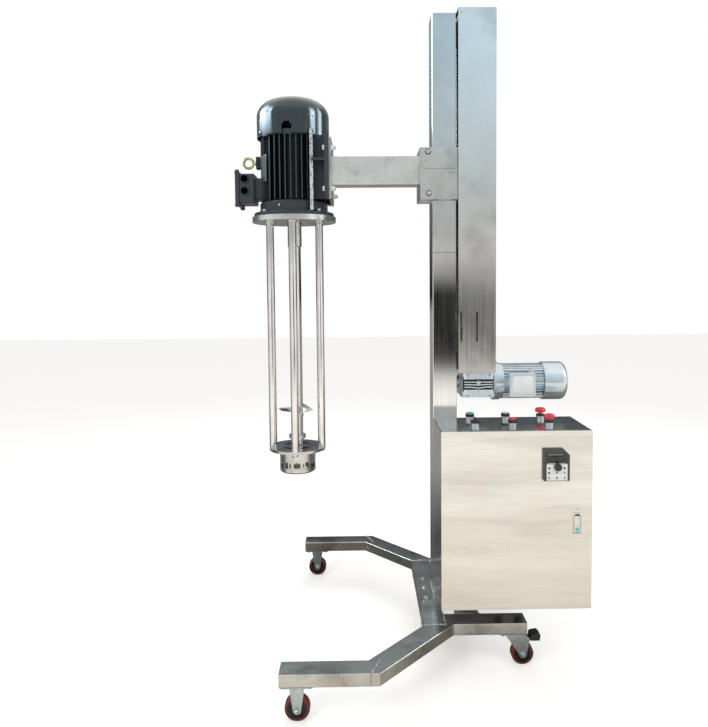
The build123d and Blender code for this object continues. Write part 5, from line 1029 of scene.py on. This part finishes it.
def dressEnds():
    # collar under the lifting eye, screws of the end shield
    turnedPiece("eyeCollar", "lift_carriage", "brass", (
        (0.0055, 0.0), (0.0105, 0.0), (0.0112, 0.0008), (0.0112, 0.0022), (0.0100, 0.0030),
        (0.0055, 0.0030), (0.0055, 0.0),
    ), [seat("left", (-0.5316, 0.0, 1.739))], 36)
    fasten("shieldScrews", "lift_carriage", "hex", [
        around((motorX, 0.0), 0.1190, bearing, 1.5780, 10.0) for bearing in (-20.0, 70.0, 160.0, 250.0)
    ], 0.7, 1.0, 45)


dressRail()
dressDrum()
dressTerminalBox()
dressEnds()
print("motor dressed")


# Mixing head

headLook = {
    "rod": (
        "polishedRod", rgb(0.90, 0.88, 0.86), rgb(0.72, 0.70, 0.68), (300, 300, 10), (0.05, 0.13), 12.0,
    ),
    "flange": (
        "turnedFlange", rgb(0.86, 0.85, 0.83), rgb(0.58, 0.56, 0.53), (70, 70, 500), (0.12, 0.3), 16.0,
    ),
}
addSteels(headLook)
finishOf.update({
    "head_flange": "flange", "tie_rods": "rod", "mixer_shaft": "rod", "stator": "flange",
    "stator_holder": "machined", "shear_rotor": "machined", "shaft_coupling": "machined",
    "propeller": "flange",
})


def dressHead():
    axis = (motorX, 0.0)
    fasten("statorScrews", "lift_carriage", "button", [
        around(axis, 0.0654, bearing, 0.6830, 15.0) for bearing in (-10.0, 80.0, 170.0, 260.0)
    ], 1.05, 2.0, 51)

    def ringOfSeats(radius, start, height):
        turns = [radians(start + 90 * step) for step in range(4)]
        return [seat("up", (motorX + radius * cos(turn), radius * sin(turn), height)) for turn in turns]

    fasten("bushScrews", "lift_carriage", "socket", ringOfSeats(0.0268, 45, 0.7500), 0.55, 3.0, 52)
    fasten("couplingScrews", "mixer_rotor", "button", [
        around(axis, 0.0246, bearing, height)
        for height in (1.4560, 1.4780, 1.4980, 1.5200) for bearing in (-28.0, 152.0)
    ], 0.62, 3.0, 53)
    fasten("propellerScrews", "mixer_rotor", "button", [
        around(axis, 0.0226, bearing, 0.8420) for bearing in (-52.0, 68.0, 188.0)
    ], 0.6, 3.0, 54)
    slits = bmesh.new()
    slit = roundOutline(0.0016, 0.0960, 0.0005, 3)
    for bearing in (0.0, 180.0):
        lofted(slits, ((slit, -0.0004), (slit, 0.00012)), around(axis, 0.0250, bearing, 1.4880))
    makePiece("couplingSlits", "mixer_rotor", "shadowGap", slits)
    turnedPiece("rodCollars", "lift_carriage", "machined", (
        (0.0142, 0.0), (0.0180, 0.0), (0.0188, 0.0008), (0.0188, 0.0051), (0.0142, 0.0051), (0.0142, 0.0),
    ), ringOfSeats(0.089, 0, 1.5188), 40)


dressHead()
print("head dressed")


# Lifting gearbox and motor

liftLook = {
    "silver": {
        "base": rgb(0.65, 0.72, 0.765), "worn": rgb(0.79, 0.84, 0.87), "dust": rgb(0.30, 0.31, 0.32),
        "rough": (0.18, 0.3), "coat": 0.4, "metal": 0.8, "chips": 0.3, "bump": 0.12,
    },
    "lid": {
        "base": rgb(0.80, 0.80, 0.775), "worn": rgb(0.86, 0.86, 0.84), "dust": rgb(0.45, 0.45, 0.44),
        "rough": (0.35, 0.5), "coat": 0.15, "metal": 0.15, "chips": 0.3, "bump": 0.12,
    },
    # colour of the painted shade in the gearbox grooves
    "grimeAndShade": rgb(0.030, 0.034, 0.040),
}
materials["lidPaint"] = castEnamel("lidEnamel", liftLook["lid"])
materials["silver"] = castEnamel("silverEnamel", liftLook["silver"])
finishOf.update({"lift_gearbox": "gearbox", "lift_motor": "silver", "lift_motor_cowl": "silver"})


def gearboxMaterial():
    # silver paint on the ribs, painted shade down in the grooves between them
    material, tree, coords = startMaterial("gearboxEnamel")
    parts = axisParts(tree, coords)
    clouds = noise(tree, coords, 30.0, 4.0, 0.6)
    grimeAndShade = plus(tree, parts["Y"], times(tree, clouds, 0.0006))
    # painted shade: darker behind the ribs' faces, only inside the ribbed field
    paintedShade = times(tree, ramp(tree, grimeAndShade, -0.0570, -0.0562), fade(tree, parts["Y"], -0.0500, -0.0490))
    across = fade(tree, fromMiddle(tree, parts["X"], 0.261), 0.0560, 0.0585)
    upward = fade(tree, fromMiddle(tree, parts["Z"], 0.938), 0.0270, 0.0290)
    paintedShade = times(tree, paintedShade, times(tree, across, upward))
    silver = shade(tree, clouds, 0.35, 0.7, liftLook["silver"]["base"], liftLook["silver"]["worn"])
    colour = mixColour(tree, paintedShade, silver, liftLook["grimeAndShade"])
    metal = ramp(tree, paintedShade, 0.0, 1.0, 0.8, 0.2)
    roughness = ramp(tree, plus(tree, paintedShade, clouds), 0.3, 1.3, 0.2, 0.6)
    return finishMaterial(material, tree, colour, roughness, clouds, 0.12, 0.0007, metal)


materials["gearbox"] = gearboxMaterial()


def dressLift():
    axisY, axisZ, lidX, lidFace = 0.050, 0.934, 0.4190, -0.07005
    lid = bmesh.new()
    w, h, cut = 0.037, 0.034, 0.009
    outline = [
        (cut - w, -h), (w - cut, -h), (w, cut - h), (w, h - cut),
        (w - cut, h), (cut - w, h), (-w, h - cut), (-w, cut - h),
    ]
    small = [(u * 0.965, v * 0.965) for u, v in outline]
    place = seat("front", (lidX, lidFace, axisZ))
    lofted(lid, ((outline, -0.0002), (outline, 0.0010), (small, 0.0018)), place)
    makePiece("liftLidPanel", "stand", "lidPaint", lid)
    fasten("liftLidScrews", "stand", "pan", [
        seat("front", (lidX + x, lidFace, axisZ + z)) for x in (-0.0415, 0.0415) for z in (-0.0385, 0.0385)
    ], 0.8, 3.0, 61)
    turns = [radians(item) for item in (40, 140, 220, 320)]
    fasten("liftFlangeBolts", "stand", "hex", [
        seat("right", (0.3400, axisY + 0.0615 * cos(turn), axisZ + 0.0615 * sin(turn))) for turn in turns
    ], 0.95, 2.0, 62)
    cowl, outward = Matrix.Translation((0.5200, axisY, axisZ)), Matrix.Translation((0, 0, 0.0709))
    fasten("liftCowlScrews", "stand", "pan", [
        cowl @ Matrix.Rotation(radians(item), 4, "X") @ outward for item in (45, 135, 225, 315)
    ], 0.95, 3.0, 63)
    turnedPiece("gearboxBosses", "stand", "silver", (
        (0, -0.0003), (0.0060, -0.0003), (0.0060, 0.0014), (0.0052, 0.0020), (0.0034, 0.0020),
        (0.0030, 0.0006), (0, 0.0006),
    ), [seat("front", (x, -0.0600, 0.8980)) for x in (0.2101, 0.3120)], 28)
    fasten("gearboxPlug", "stand", "socket", [seat("front", (0.2610, -0.0578, 0.9435))], 0.95, 2.0, 64)
    slabPiece("liftBoxLug", "stand", "silver", (
        0.0150, 0.0200, 0.003, 0.0, 0.0130, 0.0015, seat("up", (0.4530, -0.0440, 0.9780)),
    ))


dressLift()
print("lift drive dressed")


# Cabinet, door and controls

cabinetLook = {
    "door": {
        "light": rgb(0.955, 0.925, 0.86), "dark": rgb(0.80, 0.765, 0.70), "grain": (9, 260, 260),
        "clouds": 3.4, "cloudStretch": (0.5, 1, 2.6), "streaks": 0.12, "rough": (0.16, 0.3),
        "scratch": rgb(0.56, 0.52, 0.46), "scratches": 0.28, "scratchScale": 3.4,
        "scratchWidth": 0.0022, "dents": 0.7, "dentScale": 3.0,
        "stains": (
            (rgb(0.66, 0.625, 0.57), 3.6, (1.7, 0.0, 0.4), 0.5, 0.6, 0.16, (0.35, 1, 2.8)),
            (rgb(0.60, 0.56, 0.50), 34.0, (0.4, 0.2, 1.9), 0.7, 0.5, 0.05),
        ),
    },
    "shell": {
        "light": rgb(0.78, 0.79, 0.80), "dark": rgb(0.60, 0.61, 0.62), "grain": (12, 300, 300),
        "clouds": 5.0, "streaks": 0.2, "rough": (0.08, 0.2), "scratch": rgb(0.9, 0.9, 0.9),
        "scratches": 0.3, "dents": 1.8, "dentScale": 11.0, "bump": 0.3,
        "stains": ((rgb(0.38, 0.38, 0.38), 12.0, (0.9, 0.3, 0.6), 0.55, 0.5),),
    },
}
materials["door"] = sheetSteel("doorSheet", cabinetLook["door"])
materials["shell"] = sheetSteel("cabinetSheet", cabinetLook["shell"])
addSteels({
    "chrome": (
        "chromedHandle", rgb(0.84, 0.87, 0.88), rgb(0.62, 0.66, 0.68), (90, 90, 90), (0.08, 0.2), 40.0,
    ),
})
addPlastics({
    "black": ("blackPlastic", rgb(0.010, 0.010, 0.011), rgb(0.026, 0.026, 0.028), (0.2, 0.36), 0.06, 0.2),
    "keypad": ("keypadCase", rgb(0.045, 0.043, 0.043), rgb(0.080, 0.078, 0.076), (0.4, 0.55), 0.14),
    "window": ("displayWindow", rgb(0.010, 0.010, 0.011), rgb(0.024, 0.024, 0.026), (0.12, 0.25), 0.04, 0.3),
    "panel": ("keyPanel", rgb(0.86, 0.86, 0.84), rgb(0.76, 0.76, 0.73), (0.35, 0.5), 0.05),
    "teal": ("tealCap", rgb(0.05, 0.52, 0.48), rgb(0.12, 0.60, 0.54), (0.15, 0.3), 0.04, 0.4),
    "red": ("redCap", rgb(0.66, 0.015, 0.03), rgb(0.78, 0.04, 0.06), (0.15, 0.3), 0.04, 0.4),
    "orange": ("pointerOrange", rgb(0.72, 0.10, 0.03), rgb(0.60, 0.07, 0.02), (0.25, 0.4)),
    "device": ("deviceGrey", rgb(0.16, 0.165, 0.17), rgb(0.22, 0.225, 0.23), (0.4, 0.55), 0.12),
    "brownKey": ("brownKey", rgb(0.10, 0.06, 0.05), rgb(0.16, 0.09, 0.08)),
    "greenKey": ("greenKey", rgb(0.20, 0.30, 0.24), rgb(0.28, 0.38, 0.32)),
    "roseKey": ("roseKey", rgb(0.34, 0.16, 0.17), rgb(0.42, 0.22, 0.22)),
})
finishOf.update({
    "cabinet": "shell", "door": "door", "door_hinges": "hardware", "door_lock": "door",
    "lock_handle": "chrome", "keypad": "keypad", "keypad_knob": "black", "switchgear": "device",
    "cable_glands": "black", "limit_switches": "black", "start_button": "teal", "stop_button": "red",
    "selector_knob": "black", "estop_front": "red", "estop_rear": "red",
})


def controlBase():
    # chromed collar below, black bezel above, and the pilot lamp's white lens
    material, tree, coords = startMaterial("controlBase")
    height = axisParts(tree, coords)["Z"]
    upper = ramp(tree, height, 0.8278, 0.8282)
    reach = fromAxis(tree, coords, (0.351, -0.092, 0.0), "Z")
    lens = times(tree, fade(tree, reach, 0.0121, 0.0124), ramp(tree, height, 0.8325, 0.8330))
    grain = noise(tree, coords, 600.0)
    chromeTone = shade(tree, grain, 0.3, 0.7, rgb(0.84, 0.85, 0.86), rgb(0.70, 0.71, 0.72))
    blackTone = shade(tree, grain, 0.3, 0.7, rgb(0.010, 0.010, 0.011), rgb(0.024, 0.024, 0.026))
    whiteTone = shade(tree, grain, 0.3, 0.7, rgb(0.84, 0.84, 0.82), rgb(0.78, 0.78, 0.76))
    colour = mixColour(tree, lens, mixColour(tree, upper, chromeTone, blackTone), whiteTone)
    metal = fade(tree, upper, 0.0, 1.0)
    roughness = ramp(tree, grain, 0.3, 0.7, 0.12, 0.26)
    return finishMaterial(material, tree, colour, roughness, grain, 0.04, 0.0003, metal)


materials["controlBase"] = controlBase()
finishOf["control_bases"] = "controlBase"


def dressKeypad():
    keyX, keyZ, keyFront = 0.4755, 0.7050, -0.3040

    def onKeypad(x, z, raised=0.0, spin=0.0):
        return seat("front", (keyX + x, keyFront - raised, keyZ + z), spin)

    slabPiece("keyPanel", "door", "panel", (
        0.0685, 0.0545, 0.0015, 0.0, 0.0003, 0.0001, onKeypad(0.0006, -0.0234),
    ))
    glass = bmesh.new()
    w, h, cut = 0.03425, 0.0150, 0.011
    outline = [(-w, -h), (w, -h), (w, h - cut), (w - cut, h), (-w, h)]
    small = [(u * 0.985, v * 0.965) for u, v in outline]
    lofted(glass, ((outline, -0.0001), (outline, 0.0005), (small, 0.0009)), onKeypad(0.0006, 0.0235))
    makePiece("displayWindow", "door", "window", glass)
    slabPiece(
        "displayLines", "door", "panel",
        (0.0600, 0.0011, 0.0004, 0.0, 0.0003, 0.0001, onKeypad(-0.0010, 0.0063)),
        (0.0500, 0.0009, 0.0004, 0.0, 0.0003, 0.0001, onKeypad(-0.0040, 0.0352, 0.0009)),
    )
    raised = 0.0003
    button = ((0, 0.0), (0.0036, 0.0), (0.0034, 0.0005), (0.0024, 0.0008), (0, 0.0009))
    ring = (
        (0.0022, 0.0), (0.0041, 0.0), (0.0039, 0.0006), (0.0031, 0.0008), (0.0022, 0.0006), (0.0022, 0.0),
    )
    for finish, profile, spots in (
        ("black", button, ((-0.0253, -0.0099), (0.0253, -0.0099), (-0.0258, -0.0251))),
        ("brownKey", ring, ((0.0, -0.0421),)),
        ("greenKey", ring, ((-0.0255, -0.0421),)),
        ("roseKey", ring, ((0.0253, -0.0421),)),
    ):
        seats = [onKeypad(x, z, raised) for x, z in spots]
        turnedPiece(f"keys_{finish}", "door", finish, profile, seats, 24)
    arrows = bmesh.new()
    for x, reach in ((0.0, 0.0062), (0.0255, 0.0058)):
        outer = roundOutline(reach, reach, 0.0006, 3)
        inner = roundOutline(reach * 0.62, reach * 0.62, 0.0004, 3)
        layers = ((outer, 0.0), (outer, 0.0006), (inner, 0.0006), (inner, 0.0))
        lofted(arrows, layers, onKeypad(x, -0.0251, raised, 45.0), False)
    makePiece("keyArrows", "door", "black", arrows)
    knobX, knobFace = 0.4775, -0.3153
    knob = bmesh.new()
    turned(knob, (
        (0, 0.0), (0.0095, 0.0), (0.0090, 0.0007), (0.0050, 0.0010), (0, 0.0009),
    ), seat("front", (knobX, knobFace, 0.7000)), 36)
    slab(knob, 0.0014, 0.0070, 0.0005, 0.0, 0.0015, 0.0003, seat("front", (knobX, knobFace, 0.7065)))
    makePiece("knobFace", "keypad_knob", "black", knob)


def dressDoor():
    front, lockFront, lockX, lockZ = -0.2900, -0.2930, 0.5475, 0.5040
    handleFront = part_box("lock_handle")[0][1]
    turnedPiece("lockBadge", "lock_handle", "teal", (
        (0, -0.0004), (0.0066, -0.0004), (0.0066, 0.0004), (0.0058, 0.0009), (0, 0.0011),
    ), [seat("front", (lockX, handleFront, lockZ - 0.0185))], 32)
    # dark marks: an arc and two lines of painted shade round the lock handle's recess, and two short ticks
    marks = bmesh.new()
    turns = [radians(15 + 150 * step / 16) for step in range(17)]
    arc = [(0.0112 * cos(turn), 0.0092 * sin(turn)) for turn in turns]
    arc += [(0.0090 * cos(turn), 0.0066 * sin(turn)) for turn in turns[::-1]]
    lofted(marks, ((arc, 0.0), (arc, 0.0006)), seat("front", (lockX, lockFront, lockZ + 0.0245)))
    for x in (lockX - 0.0121, lockX + 0.0121):
        place = seat("front", (x, lockFront, lockZ - 0.0040))
        slab(marks, 0.0008, 0.0610, 0.0003, 0.0, 0.0003, 0.0001, place)
    slab(marks, 0.0120, 0.0014, 0.0005, -0.0001, 0.0002, 0.0001, seat("front", (lockX, front, 0.5535)))
    slab(marks, 0.0058, 0.0012, 0.0005, -0.0001, 0.0002, 0.0001, seat("front", (0.3076, front, 0.7876)))
    makePiece("doorMarks", "door", "shadowGap", marks)

    seal = bmesh.new()
    middle, top, foot = (0.352, 0.516), -0.0024, -0.0130
    outer = roundOutline(0.4720, 0.5680, 0.010, 5, middle)
    inner = roundOutline(0.4560, 0.5520, 0.006, 5, middle)
    lofted(seal, (
        (inner, top), (outer, top), (outer, foot), (inner, foot), (inner, top),
    ), seat("front", (0.0, -0.2850, 0.0)), False)
    makePiece("doorSeal", "door", "black", seal)


def dressControls():
    low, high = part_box("selector_knob")
    slabPiece("selectorMark", "selector_knob", "orange", (
        0.0050, 0.0085, 0.0014, -0.0001, 0.0008, 0.0003, seat("up", (0.2240, low[1] + 0.0062, high[2])),
    ))
    ring = (
        (0, -0.0001), (0.0130, -0.0001), (0.0128, 0.0006), (0.0118, 0.0008), (0.0110, 0.0003), (0, 0.0003),
    )
    for key, y in (("estop_front", -0.207), ("estop_rear", -0.092)):
        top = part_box(key)[1][2] - 0.0002
        turnedPiece(f"{key}_ring", key, "red", ring, [seat("up", (0.476, y, top))], 40)
    face = ((0, -0.0001), (0.0078, -0.0001), (0.0070, 0.0004), (0, 0.0006))
    for key, finish, x, y in (
        ("start_button", "teal", 0.224, -0.092), ("stop_button", "red", 0.351, -0.207),
    ):
        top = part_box(key)[1][2]
        turnedPiece(f"{key}_face", key, finish, face, [seat("up", (x, y, top))], 32)


def dressSwitchgear():
    plateFront, ductFace, terminalFace, deviceFace = -0.0770, -0.1149, -0.1168, -0.1570
    ducts = ((0.348, 0.762, 0.400, 0.024), (0.348, 0.270, 0.400, 0.024), (0.345, 0.516, 0.022, 0.452))
    slabPiece("wireDucts", "stand", "panel", *(
        (width, height, 0.0015, 0.0, 0.038, 0.001, seat("front", (x, plateFront, z)))
        for x, z, width, height in ducts
    ))
    slot, outline = bmesh.new(), roundOutline(0.0042, 0.0200, 0.001, 3)
    lofted(slot, ((outline, -0.0004), (outline, 0.0002)), Matrix())
    fasteners["slot"] = template("ductSlot", slot)
    fasten("ductSlots", "stand", "slot", [
        seat("front", (0.1555 + step * 0.0104, ductFace, z)) for step in range(38) for z in (0.762, 0.270)
    ], 1.0, 0.0, 71)
    fasten("terminalScrews", "stand", "pan", [
        seat("front", (0.3985 + step * 0.0112, terminalFace, z))
        for step in range(14) for z in (0.4250, 0.4030)
    ], 0.75, 3.0, 72)
    middles = [0.4905 - place * 0.050 for place in range(3)]
    fasten("contactorScrews", "stand", "pan", [
        seat("front", (middle + step, deviceFace, 0.6565 + row))
        for middle in middles for row in (0.030, -0.030) for step in (-0.013, 0.0, 0.013)
    ], 0.85, 3.0, 73)


dressKeypad()
dressDoor()
dressControls()
dressSwitchgear()
print("cabinet dressed")

for name, finish in finishOf.items():
    slots = nodes[name].data.materials
    slots.clear()
    slots.append(materials[finish])
print("nodes left bare:", [name for name in nodes if name not in finishOf])


# Stage, light and camera

stageLook = {
    "floorTone": rgb(0.84, 0.81, 0.76), "horizonDark": rgb(0.012, 0.011, 0.010),
    "backHigh": rgb(0.35, 0.40, 0.43), "backLow": rgb(0.31, 0.305, 0.29), "sideTone": rgb(0.50, 0.50, 0.49),
    "skyTone": rgb(0.56, 0.73, 0.84), "ambient": 0.62, "floorSize": 14.0,
}


def seenDirectly(tree):
    # one for the rays of the camera, of glass and of mirrors, which see the studio plain
    rays = addNode(tree, "ShaderNodeLightPath").outputs
    seen = maths(tree, "MAXIMUM", rays["Is Camera Ray"], rays["Is Transmission Ray"])
    return maths(tree, "MAXIMUM", seen, rays["Is Glossy Ray"])


def pickShader(tree, factor, first, second, kind="ShaderNodeOutputMaterial"):
    pick = addNode(tree, "ShaderNodeMixShader", {0: factor, 1: first.outputs[0], 2: second.outputs[0]})
    addNode(tree, kind, {"Surface": pick.outputs[0]})


def stageSheet(name, points, faces):
    mesh = bpy.data.meshes.new(name)
    mesh.from_pydata(points, [], faces)
    material = bpy.data.materials.new(name)
    mesh.materials.append(material)
    return newObject(name, mesh), emptyTree(material)


def stageFloor():
    size = stageLook["floorSize"]
    corners = [(-size, -size, 0), (size, -size, 0), (size, size, 0), (-size, size, 0)]
    floor, tree = stageSheet("floor", corners, [(0, 1, 2, 3)])
    glow = addNode(tree, "ShaderNodeEmission", {"Color": rgb(1, 1, 1), "Strength": 0.42})
    matte = addNode(tree, "ShaderNodeBsdfDiffuse", {"Color": stageLook["floorTone"]})
    both = addNode(tree, "ShaderNodeAddShader", {0: glow.outputs[0], 1: matte.outputs[0]})
    pickShader(tree, seenDirectly(tree), matte, both)


def stageWorld():
    scene.world = bpy.data.worlds.new("studio")
    tree = emptyTree(scene.world)
    soft = addNode(tree, "ShaderNodeBackground", {
        "Color": rgb(0.95, 0.97, 1.0), "Strength": stageLook["ambient"],
    })
    white = addNode(tree, "ShaderNodeBackground", {"Color": rgb(1, 1, 1), "Strength": 1.0})
    pickShader(tree, seenDirectly(tree), soft, white, "ShaderNodeOutputWorld")


def stageCard(name, build, points, faces):
    # a studio card that only shows in reflections
    card, tree = stageSheet(name, points, faces)
    colour, cover = build(tree, addNode(tree, "ShaderNodeTexCoord").outputs["Object"])
    glow = addNode(tree, "ShaderNodeEmission", {"Color": colour, "Strength": 1.0})
    pickShader(tree, cover, addNode(tree, "ShaderNodeBsdfTransparent"), glow)
    for ray in ("camera", "diffuse", "shadow", "transmission", "volume_scatter"):
        setattr(card, f"visible_{ray}", False)


def arcWall(radius, start, end, low, high, steps):
    turns = [radians(start + (end - start) * step / steps) for step in range(steps + 1)]
    points = [(radius * cos(turn), radius * sin(turn), level) for turn in turns for level in (low, high)]
    return points, [(first, first + 2, first + 3, first + 1) for first in range(0, 2 * steps, 2)]


def heightOf(tree, coords):
    return axisParts(tree, coords)["Z"]


def backTone(tree, coords):
    height = heightOf(tree, coords)
    tone = shade(tree, height, 0.95, 1.15, stageLook["backLow"], stageLook["horizonDark"])
    tone = shade(tree, height, 1.15, 2.1, tone, rgb(0.13, 0.145, 0.155))
    tone = shade(tree, height, 2.1, 3.8, tone, stageLook["backHigh"])
    return tone, fade(tree, height, 4.6, 6.4)


def skyTone(tree, coords):
    height = heightOf(tree, coords)
    tone = shade(tree, height, 1.6, 4.4, rgb(0.52, 0.51, 0.48), stageLook["skyTone"])
    return tone, ramp(tree, height, 1.3, 1.9)


def bandTone(tree, coords):
    parts = axisParts(tree, coords)
    streak = noise(tree, coords, 1.0, 3.0, 0.6, stretch=(1.4, 1, 4.0))
    tone = shade(tree, streak, 0.35, 0.7, rgb(0.004, 0.004, 0.003), rgb(0.022, 0.022, 0.020))
    sides = between(tree, parts["X"], (0.15, 0.6), (2.6, 3.4))
    sides = times(tree, sides, ramp(tree, parts["X"], 1.05, 1.3, 1.0, 0.88))
    return tone, times(tree, sides, between(tree, parts["Z"], (0.0, 0.26), (1.22, 1.72)))


def groundTone(tree, coords):
    # the ground as mirrors see it: pale far in front, with a painted shadow darkest from just in front of
    # the stand to behind it
    depth = axisParts(tree, coords)["Y"]
    tone = shade(tree, depth, -4.0, -0.75, rgb(1.12, 1.10, 1.06), rgb(0.82, 0.785, 0.71))
    tone = shade(tree, depth, -0.75, -0.35, tone, rgb(0.19, 0.175, 0.15))
    tone = shade(tree, depth, -0.35, 0.9, tone, rgb(0.075, 0.074, 0.072))
    tone = shade(tree, depth, 0.95, 2.2, tone, stageLook["backLow"])
    return tone, ramp(tree, depth, -6.4, -5.4)


def windowTone(tree, coords):
    # a bright sky behind dark foliage
    foliage = noise(tree, coords, 1.1, 4.0, 0.6, stretch=(1, 1, 1.6))
    panes = between(tree, heightOf(tree, coords), (2.62, 2.78), (3.2, 6.0))
    return rgb(10.5, 14.0, 16.5), times(tree, panes, ramp(tree, foliage, 0.36, 0.58, 0.25, 1.0))


def sideTone(tree, coords):
    return stageLook["sideTone"], fade(tree, heightOf(tree, coords), 2.55, 2.8)


def fillTone(tree, coords):
    return rgb(0.98, 0.98, 0.97), between(tree, heightOf(tree, coords), (0.9, 1.5), (2.6, 3.4))


def stageCards():
    for name, build, *wall in (  # radius, first and last bearing, foot, top, steps
        ("leftWindow", windowTone, 4.2, -208, -158, 2.5, 6.0, 12),
        ("rightWindow", windowTone, 4.2, -32, -14, 2.5, 6.0, 6),
        ("fillCard", fillTone, 4.0, -47, -33, 0.9, 3.4, 4),
        ("leftWall", sideTone, 5.0, 166, 200, 0.0, 2.8, 8),
        ("backCard", backTone, 5.0, 14, 166, 0.0, 6.5, 24),
        ("skyCard", skyTone, 7.0, -168, -12, 1.2, 7.5, 24),
    ):
        stageCard(name, build, *arcWall(*wall))
    for name, build, corners in (
        ("groundCard", groundTone, [(-5, -6.4, 0.003), (5, -6.4, 0.003), (5, 5, 0.003), (-5, 5, 0.003)]),
        ("bandCard", bandTone, [(0.1, -6.5, 0.0), (3.5, -6.5, 0.0), (3.5, -6.5, 1.8), (0.1, -6.5, 1.8)]),
    ):
        stageCard(name, build, corners, [(0, 1, 2, 3)])


def areaLamp(name, place, target, size, power, colour):
    data = bpy.data.lights.new(name, "AREA")
    data.shape = "RECTANGLE"
    data.size, data.size_y = size
    data.energy = power
    data.color = colour
    lamp = newObject(name, data)
    lamp.location = place
    lamp.visible_glossy = False
    lamp.rotation_euler = (Vector(target) - Vector(place)).to_track_quat("-Z", "Y").to_euler()


cameraLook = {  # metres, degrees, and pixels of the picture
    "place": (-0.168465, -2.505402, 1.306131), "yaw": 0.826, "pitch": -3.371, "roll": -0.481,
    "width": 708, "focal": 685.26, "shift": (-14.683, -40.299),
}


def photoCamera():
    yaw, pitch, roll = (radians(cameraLook[key]) for key in ("yaw", "pitch", "roll"))
    ahead = Vector((sin(yaw) * cos(pitch), cos(yaw) * cos(pitch), sin(pitch)))
    level = ahead.cross(Vector((0, 0, 1))).normalized()
    upright = level.cross(ahead)
    right = level * cos(roll) + upright * sin(roll)
    top = upright * cos(roll) - level * sin(roll)
    data = bpy.data.cameras.new("photoCamera")
    data.sensor_fit = "HORIZONTAL"
    width = cameraLook["width"]
    data.sensor_width = 36.0
    data.lens = data.sensor_width * cameraLook["focal"] / width
    data.shift_x, data.shift_y = (item / width for item in cameraLook["shift"])
    data.clip_end = 60.0
    camera = newObject("photoCamera", data)
    turn = Matrix((right, top, -ahead)).transposed().to_4x4()
    camera.matrix_world = Matrix.Translation(cameraLook["place"]) @ turn
    scene.camera = camera


stageFloor()
stageWorld()
stageCards()
areaLamp("keyLamp", (-2.6, -3.4, 3.6), (0.0, 0.0, 1.1), (2.2, 2.2), 62.0, (1.0, 0.98, 0.95))
areaLamp("fillLamp", (3.0, -2.6, 2.2), (0.1, 0.0, 0.9), (2.4, 2.4), 34.0, (0.95, 0.97, 1.0))
areaLamp("rimLamp", (0.5, 3.2, 3.2), (0.0, 0.0, 1.2), (2.5, 1.6), 40.0, (0.9, 0.95, 1.0))
photoCamera()
scene.view_settings.view_transform = "Standard"
print("stage ready")

for made in fasteners.values():
    mesh = made.data
    bpy.data.objects.remove(made)
    bpy.data.meshes.remove(mesh)
